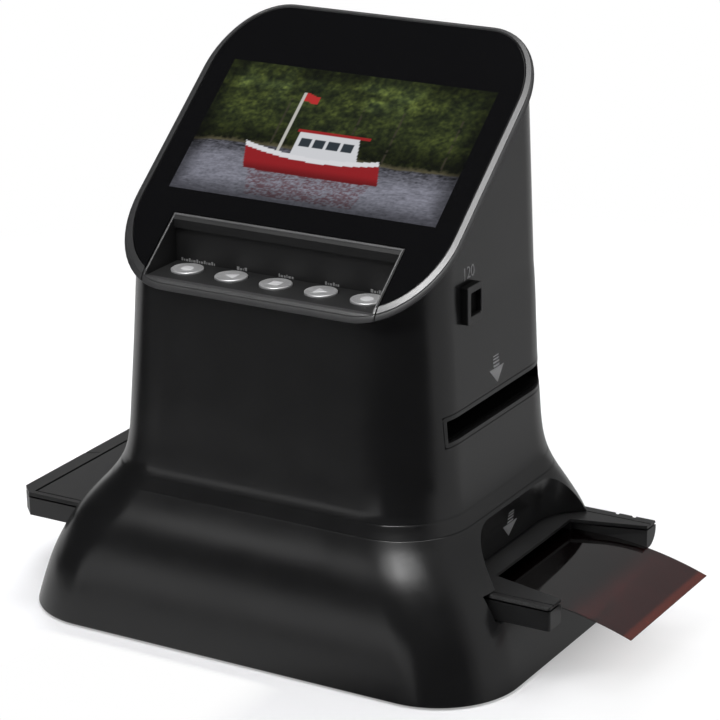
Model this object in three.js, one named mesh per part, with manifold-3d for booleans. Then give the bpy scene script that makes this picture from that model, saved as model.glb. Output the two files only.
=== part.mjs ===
// A desktop film scanner: a flared base, a tower with a sloping screen and five buttons, a slot for
// small film through the tower, and a sliding tray that carries roll film through the base.
// Millimetres, +Z up. X runs along the film path, the front faces -Y. The origin lies on the table,
// under the middle of the whole object.
import * as THREE from 'three';
import { mergeVertices } from 'three/addons/utils/BufferGeometryUtils.js';
import Module from 'manifold-3d';

const wasm = await Module();
wasm.setup();

// General sizes
const wall = 2.4;
const gap = 0.3;
const slideGap = 0.4;
const overrun = 6;
const ringStep = 3.4;
const cornerSteps = 9;
const roundSegments = 24;

// The roll film and the display set most of the other sizes
const film = {
  width: 61.5,
  thickness: 0.2,
  tail: 6,
  reach: 24,
  droopInset: 9,
  droop: 7.5,
  droopSteps: 8,
};
const lcd = {
  width: 112,
  height: 63,
  thickness: 4,
  sideRoom: 7.3,
  bracketThickness: 1.2,
  bracketBorder: 1.6,
  bracketShort: 7,
};

// The tray for roll film, seen from above: a frame with two arms at its right end
const tray = {
  y: -1,
  leftReach: 16.5,
  rightReach: 10.5,
  frontBorder: 13.45,
  backBorder: 12.15,
  frontRoom: 7.9,
  backRoom: 6.6,
  backArmShort: 1.6,
  backRoundOver: 2,
  backRoundUnder: 6.4,
  backWidest: 2.6,
  roundSteps: 6,
  bottom: 23.3,
  thickness: 8.8,
  chamfer: 5.5,
  lidThickness: 1.2,
  lidGroove: 0.4,
  armLength: 27,
  armRootInset: 2.15,
  armEndRoom: 4.85,
  armEndRadius: 3.2,
  filmLift: 4.1,
  filmEdge: 3.15,
  channelInset: 8,
  apertureHalfLength: 42,
  railWidth: 2.6,
  borderLeft: 6.2,
  borderSide: 2.6,
  borderWidth: 1,
  borderDepth: 0.5,
  tickLength: 5,
  tickWidth: 0.6,
  hingeInset: 2.3,
  hingePinRadius: 0.6,
  hingePinLength: 18,
  hingeEndInset: 4,
  notchWidth: 1.8,
  notchPitch: 6.7,
};
const trayFront = tray.y - film.width / 2 - tray.frontBorder;
const trayBack = tray.y + film.width / 2 + tray.backBorder;

// The body's plan is a rounded rectangle, as wide as the display and as deep as the tray need. It
// grows from the tower's size by a share that falls from 1 at the table to about 0 at the top of
// the flare.
const tower = {
  halfWidth: lcd.width / 2 + lcd.sideRoom,
  front: tray.frontRoom - trayFront,
  back: trayBack + tray.backRoom,
  corner: 25,
  leanHeight: 75,
  leanShare: 0.063,
  tightenFrom: 75,
  tightenTo: 125,
  tighten: 5.3,
};
const flare = {
  height: 125,
  side: 34.2,
  front: 24.7,
  back: 2.8,
  corner: 5.7,
};
// Pairs of height share and growth share, from the table upwards
const flareShares = [
  [0, 1], [0.072, 0.93], [0.152, 0.838], [0.224, 0.72], [0.288, 0.585], [0.344, 0.42],
  [0.392, 0.27], [0.448, 0.155], [0.52, 0.095], [0.64, 0.062], [0.8, 0.02], [1, -0.025],
];
const base = {
  bottom: 0.8,
  seam: 50.3,
  lipDrop: 4,
  lipThickness: 1.6,
  postRadius: 3,
  postTop: 40,
  postInset: 37.5,
  postFrontInset: 14.8,
};
const floorPlate = {
  bottom: 1.6,
  thickness: 2.4,
  ventCount: 7,
  ventPitch: 7,
  ventWidth: 2.6,
  ventLength: 34,
};
const foot = {
  radius: 7,
  inset: 25,
};
const screw = {
  headRadius: 2.8,
  headHeight: 1.4,
  headRecess: 0.3,
  radius: 1.4,
  length: 12,
  driveRadius: 1.1,
  driveDepth: 0.8,
};

// The screen's face slopes up towards the back
const face = {
  height: 170.8,
  chin: 6.55,
  angle: THREE.MathUtils.degToRad(38.8),
  overhangSide: 2.8,
  overhangFront: 3.7,
  overhangBack: 2.3,
  overhangCorner: 3.8,
  overhangBackCorner: 5.4,
  rimThickness: 2.2,
  rimWidth: 2.1,
  plateThickness: 3.2,
};
const windowPane = {
  thickness: 1.5,
  sunk: 0.3,
};
const well = {
  sideInset: 16.5,
  depth: 19.3,
  backHeight: 17.1,
  floorThickness: 2.1,
  rim: 0.9,
  stepDepth: 0.8,
  stepHeight: 4.6,
  standoffRadius: 1.6,
};
const button = {
  count: 5,
  endRoom: 4.55,
  backRoom: 7.4,
  radius: 5.85,
  proud: 0.6,
  crown: 0.5,
  travel: 0.8,
  flange: 0.6,
  flangeThickness: 1,
  stemRadius: 1.8,
  stemLength: 1.2,
  switchHeight: 1.2,
  switchRadius: 2.2,
};
const buttonBoard = {
  thickness: 1.4,
  depth: 15,
  setBack: 1.4,
};

// The film selector slides up and down on the right wall
const selector = {
  frontInset: 34.7,
  headRoom: 11.84,
  width: 11.6,
  tall: 13.3,
  proud: 1.9,
  hollowWidth: 7.2,
  hollowTall: 7.8,
  hollowDepth: 1.4,
  corner: 1.2,
  travel: 4,
  stemWidth: 4,
  stemTall: 4,
  stemDrop: 2.6,
  clipThickness: 1.2,
  clipWidth: 7,
  clipTall: 7,
  housingDepth: 5.6,
  housingWall: 1.4,
};

// The guide for small film runs right through the tower
const guide = {
  frontInset: 18.5,
  backInset: 11.5,
  bottom: 80.5,
  top: 87.4,
  border: 2.1,
  windowHalfLength: 21,
  windowHalfWidth: 17,
};


// The opening over the tray's right end, and the room below it for a sagging film
const mouth = {
  pocketInset: 10.5,
  pocketSideRoom: 8.25,
  pocketCorner: 20,
  pocketDraftShare: 0.12,
  droopInset: 8.5,
  droopSideRoom: 2.25,
  droopDepth: 4.4,
};

// What carries and lights the tray inside the base
const deck = {
  endRoom: 12,
  thickness: 3,
  rail: 2.2,
  legRadius: 3.6,
  legEndInset: 6,
  legInset: 4.6,
  coverThickness: 2,
};
const light = {
  endBorder: 1.8,
  sideBorder: 3.9,
  diffuserThickness: 1.6,
  boxDepth: 8.7,
  boxFloor: 1.6,
  boxWall: 1.4,
};

// The camera stands on the upper guide and looks down through both film gates
const camera = {
  bracketHalfLength: 30,
  bracketHalfWidth: 20,
  bracketThickness: 2.4,
  bracketRise: 22,
  barrelRadius: 9,
  barrelCollar: 11,
  collarThickness: 2,
  barrelBelow: 11,
  barrelAbove: 5,
  bore: 6.6,
  lensRadius: 6.3,
  lensEdge: 1.8,
  lensCrown: 1.3,
  boardHalf: 15,
  boardThickness: 1.6,
  sensorHalf: 4.2,
  sensorThickness: 1.1,
};
const board = {
  halfWidth: 42,
  bottom: 96,
  height: 62,
  thickness: 1.6,
  setIn: 14.5,
  standoffRadius: 2.4,
  standoffInset: 6,
};
const usb = {
  x: 24,
  lift: 12,
  width: 9,
  tall: 3.3,
  shell: 0.5,
  back: 1.2,
};
const card = {
  x: -22,
  lift: 12,
  width: 27,
  tall: 4.4,
  slotWidth: 24.6,
  slotTall: 2.4,
  back: 1.2,
};
const ribbon = {
  width: 18,
  thickness: 0.3,
  steps: 8,
};

// Places that follow from the sizes above
const trayTop = tray.bottom + tray.thickness;
const trayLidBottom = trayTop - tray.lidThickness;
const trayBodyTop = trayLidBottom - tray.lidGroove;
const filmBottom = tray.bottom + tray.filmLift;
const tunnelTop = trayTop + slideGap;
const tunnelBottom = tray.bottom - slideGap;
const tunnelFront = trayFront - slideGap;
const tunnelBack = trayBack + slideGap;
const baseHalfWidth = tower.halfWidth + flare.side;
const trayLeft = -baseHalfWidth - tray.leftReach;
const trayRight = baseHalfWidth + tray.rightReach;
const trayArmRoot = trayRight - tray.armLength;
const gateHalfWidth = film.width / 2 - tray.filmEdge;
const filmLeft = -tray.apertureHalfLength - film.tail;
const filmRight = trayRight + film.reach;
const filmDroopStart = trayArmRoot + film.droopInset;
const pocketX = trayArmRoot - mouth.pocketInset;
const deckHalfLength = tray.apertureHalfLength + deck.endRoom;
const lightHalfLength = tray.apertureHalfLength + light.endBorder;
const lightHalfWidth = gateHalfWidth + light.sideBorder;
const guideFront = guide.frontInset - tower.front;
const guideBack = tower.back - guide.backInset;
const guideY = (guideFront + guideBack) / 2;
const wellHalfWidth = tower.halfWidth - well.sideInset;
const wellBackY = well.depth - tower.front;
const faceY = wellBackY + face.chin + (lcd.height / 2) * Math.cos(face.angle);
const faceTop = faceHeightAt(tower.back);
const wellFloor = faceHeightAt(wellBackY) - well.backHeight;
const wellBottom = wellFloor - well.floorThickness;
const buttonY = wellBackY - button.backRoom;
const buttonPitch = (2 * (wellHalfWidth - button.endRoom - button.radius)) / (button.count - 1);
const boardY = tower.back - board.setIn;
const boardFaceY = boardY + board.thickness;
const bodyReach = baseHalfWidth + overrun;
const bodyDepth = tower.front + flare.front + overrun;

// The height of the screen's face over a place in the plan
function faceHeightAt(y) {
  return face.height + (y - faceY) * Math.tan(face.angle);
}

// Closed solids for cutting and joining

function toSolid(geometry) {
  const plain = geometry.clone();
  plain.deleteAttribute('normal');
  plain.deleteAttribute('uv');
  const merged = mergeVertices(plain, gap / 1000);
  return new wasm.Manifold(new wasm.Mesh({
    numProp: 3,
    vertProperties: new Float32Array(merged.attributes.position.array),
    triVerts: new Uint32Array(merged.index.array),
  }));
}

function toGeometry(solid) {
  const mesh = solid.getMesh();
  const geometry = new THREE.BufferGeometry();
  geometry.setAttribute('position', new THREE.BufferAttribute(new Float32Array(mesh.vertProperties), 3));
  geometry.setIndex(new THREE.BufferAttribute(new Uint32Array(mesh.triVerts), 1));
  geometry.computeVertexNormals();
  return geometry;
}

function block(lowX, highX, lowY, highY, lowZ, highZ) {
  const geometry = new THREE.BoxGeometry(highX - lowX, highY - lowY, highZ - lowZ);
  geometry.translate((lowX + highX) / 2, (lowY + highY) / 2, (lowZ + highZ) / 2);
  return toSolid(geometry);
}

// A round rod along +Z from its foot
function rod(radius, length, x, y, z) {
  const geometry = new THREE.CylinderGeometry(radius, radius, length, roundSegments);
  geometry.rotateX(Math.PI / 2);
  geometry.translate(x, y, z + length / 2);
  return toSolid(geometry);
}

// A round rod along +X or +Y, from its middle
function crossRod(axis, radius, length, x, y, z) {
  const geometry = new THREE.CylinderGeometry(radius, radius, length, roundSegments);
  if (axis === 'x') {
    geometry.rotateZ(Math.PI / 2);
  }
  geometry.translate(x, y, z);
  return toSolid(geometry);
}

function turned(profile) {
  const points = profile.map(([radius, height]) => new THREE.Vector2(radius, height));
  const geometry = new THREE.LatheGeometry(points, roundSegments);
  geometry.rotateX(Math.PI / 2);
  return toSolid(geometry);
}

// A flat outline in X and Y, given as points, raised from one height to another
function raised(points, low, high) {
  const shape = new THREE.Shape(points.map(([x, y]) => new THREE.Vector2(x, y)));
  const geometry = new THREE.ExtrudeGeometry(shape, { depth: high - low, bevelEnabled: false });
  geometry.translate(0, 0, low);
  return toSolid(geometry);
}

// An outline in Y and Z, run along X between two places
function runAlongX(points, low, high) {
  const shape = new THREE.Shape(points.map(([y, z]) => new THREE.Vector2(y, z)));
  const geometry = new THREE.ExtrudeGeometry(shape, { depth: high - low, bevelEnabled: false });
  geometry.rotateX(Math.PI / 2);
  geometry.rotateZ(Math.PI / 2);
  geometry.translate(low, 0, 0);
  return toSolid(geometry);
}

// An outline in X and Z, run along Y between two places
function runAlongY(points, low, high) {
  const shape = new THREE.Shape(points.map(([x, z]) => new THREE.Vector2(x, z)));
  const geometry = new THREE.ExtrudeGeometry(shape, { depth: high - low, bevelEnabled: false });
  geometry.rotateX(Math.PI / 2);
  geometry.translate(0, high, 0);
  return toSolid(geometry);
}

// One level of a rounded rectangle, counter-clockwise from above
function ring(lowX, highX, lowY, highY, frontRadius, z, backRadius = frontRadius) {
  const corners = [
    [highX - frontRadius, lowY + frontRadius, -Math.PI / 2, frontRadius],
    [highX - backRadius, highY - backRadius, 0, backRadius],
    [lowX + backRadius, highY - backRadius, Math.PI / 2, backRadius],
    [lowX + frontRadius, lowY + frontRadius, Math.PI, frontRadius],
  ];
  const points = [];
  for (const [x, y, start, radius] of corners) {
    for (let step = 0; step <= cornerSteps; step += 1) {
      const turn = start + (step / cornerSteps) * (Math.PI / 2);
      points.push(new THREE.Vector3(x + radius * Math.cos(turn), y + radius * Math.sin(turn), z));
    }
  }
  return points;
}

// A closed skin over a stack of rings, from the lowest to the highest
function loft(rings) {
  const count = rings[0].length;
  const positions = rings.flat().flatMap((point) => point.toArray());
  const faces = [];
  const middles = [rings[0], rings[rings.length - 1]].map((points) => {
    const middle = new THREE.Vector3();
    points.forEach((point) => middle.add(point));
    return middle.divideScalar(count);
  });
  middles.forEach((middle) => positions.push(...middle.toArray()));
  const lowMiddle = rings.length * count;
  const highMiddle = lowMiddle + 1;
  const lastRing = (rings.length - 1) * count;
  for (let i = 0; i < count; i += 1) {
    const next = (i + 1) % count;
    faces.push(lowMiddle, next, i);
    faces.push(highMiddle, lastRing + i, lastRing + next);
    for (let level = 0; level < lastRing; level += count) {
      faces.push(level + i, level + next, level + count + next);
      faces.push(level + i, level + count + next, level + count + i);
    }
  }
  const geometry = new THREE.BufferGeometry();
  geometry.setAttribute('position', new THREE.Float32BufferAttribute(positions, 3));
  geometry.setIndex(faces);
  return toSolid(geometry);
}

const flareCurve = new THREE.SplineCurve(flareShares.map((pair) => new THREE.Vector2(...pair)))
  .getPoints(flareShares.length * cornerSteps);

// The share of the flare that the body still has at a height
function flareAt(height) {
  const share = height / flare.height;
  const after = flareCurve.findIndex((point) => point.x > share);
  if (after === -1) {
    return flareCurve[flareCurve.length - 1].y;
  }
  if (after === 0) {
    return flareCurve[0].y;
  }
  const [low, high] = [flareCurve[after - 1], flareCurve[after]];
  return THREE.MathUtils.mapLinear(share, low.x, high.x, low.y, high.y);
}

// Half the width, the front and back and the corner radii of the body at a height
function bodyAt(height) {
  const share = flareAt(height);
  const lean = tower.leanShare * Math.max(0, height - tower.leanHeight);
  const corner = tower.corner + flare.corner * share;
  const tightening = THREE.MathUtils.smoothstep(height, tower.tightenFrom, tower.tightenTo);
  return {
    halfWidth: tower.halfWidth + flare.side * share,
    front: -tower.front - flare.front * share,
    back: tower.back + flare.back * Math.max(0, share) - lean,
    corner,
    backCorner: corner - tower.tighten * tightening,
  };
}

function bodyRing(height, grow) {
  const { halfWidth, front, back, corner, backCorner } = bodyAt(height);
  const edges = [-halfWidth - grow, halfWidth + grow, front - grow, back + grow];
  return ring(...edges, corner + grow, height, backCorner + grow);
}

// The body's outer form between two heights, grown or shrunk all round
function bodyForm(low, high, grow) {
  const rings = [bodyRing(low, grow)];
  let height = (Math.floor(low / ringStep) + 1) * ringStep;
  while (height < high - ringStep / 2) {
    if (height > low + ringStep / 2) {
      rings.push(bodyRing(height, grow));
    }
    height += height > tower.leanHeight ? ringStep * 5 : ringStep;
  }
  rings.push(bodyRing(high, grow));
  return loft(rings);
}

// Everything between two depths under the screen's face, square to it
function slopeSlab(low, high) {
  const reach = bodyReach * 2 + faceTop;
  const geometry = new THREE.BoxGeometry(reach, reach, high - low);
  geometry.translate(0, 0, (low + high) / 2);
  geometry.rotateX(face.angle);
  geometry.translate(0, faceY, face.height);
  return toSolid(geometry);
}

function cutAll(solid, tools) {
  return tools.reduce((left, tool) => left.subtract(tool), solid);
}

function joinAll(solids) {
  return solids.reduce((joined, solid) => joined.add(solid));
}

// Outer edge of the screen's frame in plan, shrunk by an inset, between two heights
function facePrism(inset, low, high) {
  const top = bodyAt(face.height);
  const back = bodyAt(faceTop).back;
  const side = top.halfWidth + face.overhangSide - inset;
  const edges = [-side, side, top.front - face.overhangFront + inset, back + face.overhangBack - inset];
  const corner = top.corner + face.overhangCorner - inset;
  const backCorner = top.backCorner + face.overhangBackCorner - inset;
  return loft([ring(...edges, corner, low, backCorner), ring(...edges, corner, high, backCorner)]);
}

// Base

const foundation = bodyAt(base.bottom);
const postX = baseHalfWidth - base.postInset;
const postFrontY = base.postFrontInset - tower.front - flare.front;
const postPlaces = [-1, 1].flatMap((side) => [
  [side * postX, postFrontY],
  [side * postX, foundation.back - wall - gap - screw.headRadius],
]);

// The scooped place above the tray's right end. Its wall leans out as it rises.
function pocket(grow) {
  const top = base.seam + overrun;
  const rings = [tunnelTop, top].map((height) => {
    const inner = pocketX + mouth.pocketDraftShare * (height - tunnelTop) - grow;
    const half = film.width / 2 + mouth.pocketSideRoom + grow;
    return ring(inner, inner + bodyReach, tray.y - half, tray.y + half, mouth.pocketCorner + grow, height);
  });
  return loft(rings);
}

function trayTunnel() {
  return block(-bodyReach, bodyReach, tunnelFront, tunnelBack, tunnelBottom, tunnelTop);
}

function baseShell() {
  const top = base.seam - gap / 2;
  const outer = bodyForm(base.bottom, top, 0);
  const inner = bodyForm(base.bottom - overrun, top + overrun, -wall);
  const postBottom = floorPlate.bottom + floorPlate.thickness + gap;
  const posts = postPlaces.map(([x, y]) => (
    rod(base.postRadius, base.postTop - postBottom, x, y, postBottom).intersect(outer)
  ));
  const pilots = postPlaces.map(([x, y]) => rod(screw.radius + gap / 2, screw.length, x, y, base.bottom));
  const boss = pocket(wall).intersect(outer);
  const droopHalfWidth = film.width / 2 + mouth.droopSideRoom;
  const droop = block(
    pocketX - mouth.droopInset, bodyReach,
    tray.y - droopHalfWidth, tray.y + droopHalfWidth,
    tunnelBottom - mouth.droopDepth, tunnelTop,
  );
  const shell = joinAll([outer.subtract(inner), ...posts, boss]);
  return cutAll(shell, [...pilots, pocket(0), trayTunnel(), droop]);
}

function floorPlateSolid() {
  const top = floorPlate.bottom + floorPlate.thickness;
  const outline = bodyAt(top);
  const grow = -wall - gap;
  const edges = [
    -outline.halfWidth - grow, outline.halfWidth + grow, outline.front - grow, outline.back + grow,
    outline.corner + grow,
  ];
  const plate = loft([ring(...edges, floorPlate.bottom), ring(...edges, top)]);
  const holes = postPlaces.flatMap(([x, y]) => [
    rod(screw.radius + gap / 2, floorPlate.thickness + overrun * 2, x, y, floorPlate.bottom - overrun),
    rod(screw.headRadius + gap / 2, screw.headHeight + screw.headRecess, x, y, floorPlate.bottom),
  ]);
  const vents = [];
  for (let i = 0; i < floorPlate.ventCount; i += 1) {
    const x = (i - (floorPlate.ventCount - 1) / 2) * floorPlate.ventPitch;
    const half = floorPlate.ventWidth / 2;
    const reach = floorPlate.ventLength / 2;
    vents.push(block(x - half, x + half, -reach, reach, floorPlate.bottom - overrun, top + overrun));
  }
  return cutAll(plate, [...holes, ...vents]);
}

const footPlaces = [-1, 1].flatMap((side) => {
  const outline = bodyAt(floorPlate.bottom);
  const x = side * (outline.halfWidth - foot.inset);
  return [[x, outline.front + foot.inset], [x, outline.back - foot.inset]];
});

function footSolid(x, y) {
  return rod(foot.radius, floorPlate.bottom - gap, x, y, 0);
}

function screwSolid(x, y) {
  const headBottom = floorPlate.bottom + screw.headRecess / 2;
  const head = rod(screw.headRadius, screw.headHeight, x, y, headBottom);
  const shankLength = screw.length - screw.headHeight - gap * 2;
  const shank = rod(screw.radius, shankLength, x, y, headBottom + screw.headHeight / 2);
  const drive = rod(screw.driveRadius, screw.driveDepth * 2, x, y, headBottom - screw.driveDepth);
  return head.add(shank).subtract(drive);
}

// Tower

const paneBottom = -windowPane.sunk - windowPane.thickness;
const plateTop = paneBottom - gap;
const lcdBack = plateTop - lcd.thickness - gap;

// The selector's housing stands below the display's bracket
const selectorY = selector.frontInset - tower.front;
const housingHalfWidth = selector.clipWidth / 2 + gap + selector.housingWall;
const housingTop = faceHeightAt(selectorY - housingHalfWidth)
  + (lcdBack - lcd.bracketThickness) / Math.cos(face.angle) - selector.headRoom;
const stemZ = housingTop - selector.housingWall - gap - selector.clipTall / 2;
const selectorHeight = stemZ - selector.stemDrop;
const selectorWallX = bodyAt(selectorHeight - selector.tall / 2 - selector.travel).halfWidth;
const selectorInsideX = bodyAt(stemZ + selector.clipTall / 2).halfWidth - wall;
const clipFront = selectorInsideX - gap * 3;
const clipBack = clipFront - selector.clipThickness;

const portHeight = (port) => board.bottom + port.lift;

function portOpening(port) {
  const half = port.width / 2 + gap;
  const low = portHeight(port) - port.tall / 2 - gap;
  const high = portHeight(port) + port.tall / 2 + gap;
  return block(port.x - half, port.x + half, boardFaceY, bodyDepth, low, high);
}

const boardCorners = [-1, 1].flatMap((side) => [
  [side * (board.halfWidth - board.standoffInset), board.bottom + board.standoffInset],
  [side * (board.halfWidth - board.standoffInset), board.bottom + board.height - board.standoffInset],
]);

function boardStandoffs(outer) {
  const front = boardFaceY + gap;
  const back = tower.back;
  return boardCorners.map(([x, z]) => (
    crossRod('y', board.standoffRadius, back - front, x, (front + back) / 2, z).intersect(outer)
  ));
}

// A lip inside the seam that drops into the base
function seamLip() {
  const shrink = wall + gap + base.lipThickness;
  const high = base.seam + base.lipDrop;
  const low = base.seam - base.lipDrop;
  const root = bodyForm(base.seam + gap, high, -wall / 2);
  const tongue = bodyForm(low, base.seam + gap * 2, -wall - gap);
  const inside = bodyForm(low - overrun, high + overrun, -shrink);
  return root.add(tongue).subtract(inside).subtract(pocket(wall + gap));
}

function towerShell() {
  const bottom = base.seam + gap / 2;
  const outer = bodyForm(bottom, faceTop, 0);
  const inner = bodyForm(bottom - overrun, faceTop + overrun, -wall);
  const standoffs = boardStandoffs(outer);
  const shell = joinAll([outer.subtract(inner), seamLip(), ...standoffs]);
  const guideGap = guide.border + gap;
  const slotHalf = selector.stemWidth / 2 + gap;
  return cutAll(shell, [
    slopeSlab(-face.rimThickness - gap, faceTop),
    block(
      -wellHalfWidth - gap, wellHalfWidth + gap,
      -bodyDepth, wellBackY + wall, wellBottom - gap, faceTop,
    ),
    block(
      -bodyReach, bodyReach,
      guideFront - guideGap, guideBack + guideGap, guide.bottom - guideGap, guide.top + guideGap,
    ),
    block(
      0, bodyReach, selectorY - slotHalf, selectorY + slotHalf,
      stemZ - selector.stemTall / 2 - selector.travel - gap, stemZ + selector.stemTall / 2 + gap,
    ),
    portOpening(usb),
    portOpening(card),
  ]);
}

// Screen

// The frame's front stretch is open over the button well
function wellNotch(grow) {
  return block(
    -wellHalfWidth - grow, wellHalfWidth + grow,
    -bodyDepth, wellBackY + well.rim + grow, 0, faceTop + overrun,
  );
}

function bezelFrame() {
  const rim = facePrism(0, 0, faceTop * 2)
    .intersect(slopeSlab(-face.rimThickness, 0));
  const inside = bodyForm(base.seam, faceTop, -wall - gap)
    .intersect(slopeSlab(plateTop - face.plateThickness, plateTop + gap));
  const paneRoom = facePrism(face.rimWidth, 0, faceTop * 2)
    .intersect(slopeSlab(plateTop, overrun));
  const lcdRoom = slopeBox(lcd.width / 2 + gap, lcd.height / 2 + gap, plateTop - bodyDepth, overrun);
  return cutAll(rim.add(inside), [paneRoom, lcdRoom, wellNotch(gap)]);
}

// A box square to the screen's face, about its middle
function slopeBox(halfWidth, halfHeight, low, high) {
  const geometry = new THREE.BoxGeometry(halfWidth * 2, halfHeight * 2, high - low);
  geometry.translate(0, 0, (low + high) / 2);
  geometry.rotateX(face.angle);
  geometry.translate(0, faceY, face.height);
  return toSolid(geometry);
}

function screenWindow() {
  return facePrism(face.rimWidth + gap, 0, faceTop * 2)
    .intersect(slopeSlab(paneBottom, -windowPane.sunk))
    .subtract(wellNotch(gap));
}

function lcdPanel() {
  const geometry = new THREE.BoxGeometry(lcd.width, lcd.height, lcd.thickness);
  geometry.translate(0, 0, plateTop - lcd.thickness / 2);
  return geometry;
}

// A pressed plate behind the panel, short at its top end so that the ribbon passes
function lcdBracket() {
  const high = lcd.height / 2 - lcd.bracketShort;
  const low = -lcd.height / 2;
  const half = lcd.width / 2 + lcd.bracketBorder;
  const geometry = new THREE.BoxGeometry(half * 2, high - low, lcd.bracketThickness);
  geometry.translate(0, (low + high) / 2, lcdBack - lcd.bracketThickness / 2);
  return geometry;
}

// Buttons

const buttonPlaces = Array.from({ length: button.count }, (_, i) => (
  (i - (button.count - 1) / 2) * buttonPitch
));
const boardTop = wellBottom - gap - button.flangeThickness - button.stemLength
  - button.travel - gap - button.switchHeight;
const buttonBoardFront = bodyAt(boardTop).front + wall + buttonBoard.setBack;

function buttonWell() {
  const half = wellHalfWidth - gap / 2;
  const behind = wellBackY + well.rim;
  const reach = block(-half, half, -bodyDepth, behind, 0, faceTop);
  const lip = facePrism(0, 0, faceTop * 2).intersect(slopeSlab(-face.rimThickness, 0));
  const tubFront = bodyAt(wellBottom).front + gap;
  const tub = block(-half, half, tubFront, behind, wellBottom, faceTop)
    .intersect(facePrism(0, 0, faceTop * 2))
    .subtract(slopeSlab(0, faceTop));
  const innerHalf = half - well.rim;
  const room = block(-innerHalf, innerHalf, -bodyDepth, wellBackY - well.stepDepth, wellFloor, faceTop);
  const under = block(
    -innerHalf, innerHalf, -bodyDepth, wellBackY, wellFloor,
    face.height + (wellBackY - faceY) * Math.tan(face.angle) - well.stepHeight,
  );
  const holes = buttonPlaces.map((x) => (
    rod(button.radius + gap, well.floorThickness + overrun, x, buttonY, wellBottom - overrun / 2)
  ));
  const standoffY = buttonBoardFront + buttonBoard.depth - well.standoffRadius - gap;
  const standoffs = [buttonPlaces[0], buttonPlaces[button.count - 2]].map((x) => (
    rod(well.standoffRadius, wellBottom - boardTop, x + buttonPitch / 2, standoffY, boardTop + gap)
  ));
  return cutAll(joinAll([lip.intersect(reach), tub]), [room, under, ...holes]).add(joinAll(standoffs));
}

function buttonSolid() {
  const flangeTop = wellBottom - gap;
  const flangeBottom = flangeTop - button.flangeThickness;
  const shoulder = wellFloor + button.proud;
  return turned([
    [0, flangeBottom - button.stemLength],
    [button.stemRadius, flangeBottom - button.stemLength],
    [button.stemRadius, flangeBottom],
    [button.radius + button.flange, flangeBottom],
    [button.radius + button.flange, flangeTop],
    [button.radius, flangeTop],
    [button.radius, shoulder - button.crown / 2],
    [button.radius - button.crown / 2, shoulder],
    [button.radius / 2, shoulder + button.crown / 2],
    [0, shoulder + button.crown / 2 + button.crown / 5],
  ]);
}

function buttonBoardSolid() {
  const half = wellHalfWidth - wall;
  const bottom = boardTop - buttonBoard.thickness;
  const back = buttonBoardFront + buttonBoard.depth;
  const plate = block(-half, half, buttonBoardFront, back, bottom, boardTop);
  const switches = buttonPlaces.map((x) => (
    rod(button.switchRadius, button.switchHeight + gap, x, buttonY, boardTop - gap)
  ));
  return joinAll([plate, ...switches]);
}

// Selector

function selectorKnob() {
  const back = selectorWallX + gap;
  const front = back + selector.proud;
  const halfWidth = selector.width / 2;
  const halfTall = selector.tall / 2;
  const rounded = ring(-halfTall, halfTall, -halfWidth, halfWidth, selector.corner, 0);
  const outline = rounded.map((point) => [point.x, point.y]);
  const geometry = toGeometry(raised(outline, 0, front - back));
  geometry.rotateY(Math.PI / 2);
  geometry.translate(back, selectorY, selectorHeight);
  const hollow = block(
    front - selector.hollowDepth, front + overrun,
    selectorY - selector.hollowWidth / 2, selectorY + selector.hollowWidth / 2,
    selectorHeight - selector.hollowTall / 2, selectorHeight + selector.hollowTall / 2,
  );
  const stem = block(
    clipFront + gap, back + gap,
    selectorY - selector.stemWidth / 2, selectorY + selector.stemWidth / 2,
    stemZ - selector.stemTall / 2, stemZ + selector.stemTall / 2,
  );
  return toSolid(geometry).subtract(hollow).add(stem);
}

function selectorClip() {
  const half = selector.clipWidth / 2;
  return block(
    clipBack, clipFront, selectorY - half, selectorY + half,
    stemZ - selector.clipTall / 2, stemZ + selector.clipTall / 2,
  );
}

// The switch's housing: a channel that the clip runs in, open towards the wall
function selectorHousing() {
  const front = bodyAt(stemZ + selector.tall / 2).halfWidth - wall - gap;
  const half = selector.clipWidth / 2 + gap;
  const high = housingTop - selector.housingWall;
  const low = high - selector.clipTall - selector.travel - gap * 2;
  const outside = block(
    front - selector.housingDepth, front, selectorY - housingHalfWidth, selectorY + housingHalfWidth,
    low - selector.housingWall, housingTop,
  );
  const channel = block(
    clipBack - gap, front + overrun, selectorY - half, selectorY + half, low, high,
  );
  return outside.subtract(channel);
}

// Upper film guide: a flat tube through the tower, flush with both walls, with a gate in its middle

function upperGuide() {
  const { border } = guide;
  const tube = block(
    -bodyReach, bodyReach,
    guideFront - border, guideBack + border, guide.bottom - border, guide.top + border,
  );
  const outer = bodyForm(base.seam, faceTop, 0);
  const slot = block(-bodyReach, bodyReach, guideFront, guideBack, guide.bottom, guide.top);
  const gate = block(
    -guide.windowHalfLength, guide.windowHalfLength,
    guideY - guide.windowHalfWidth, guideY + guide.windowHalfWidth,
    guide.bottom - overrun, guide.top + overrun,
  );
  return cutAll(tube.intersect(outer), [slot, gate]);
}

// Film tray

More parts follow.
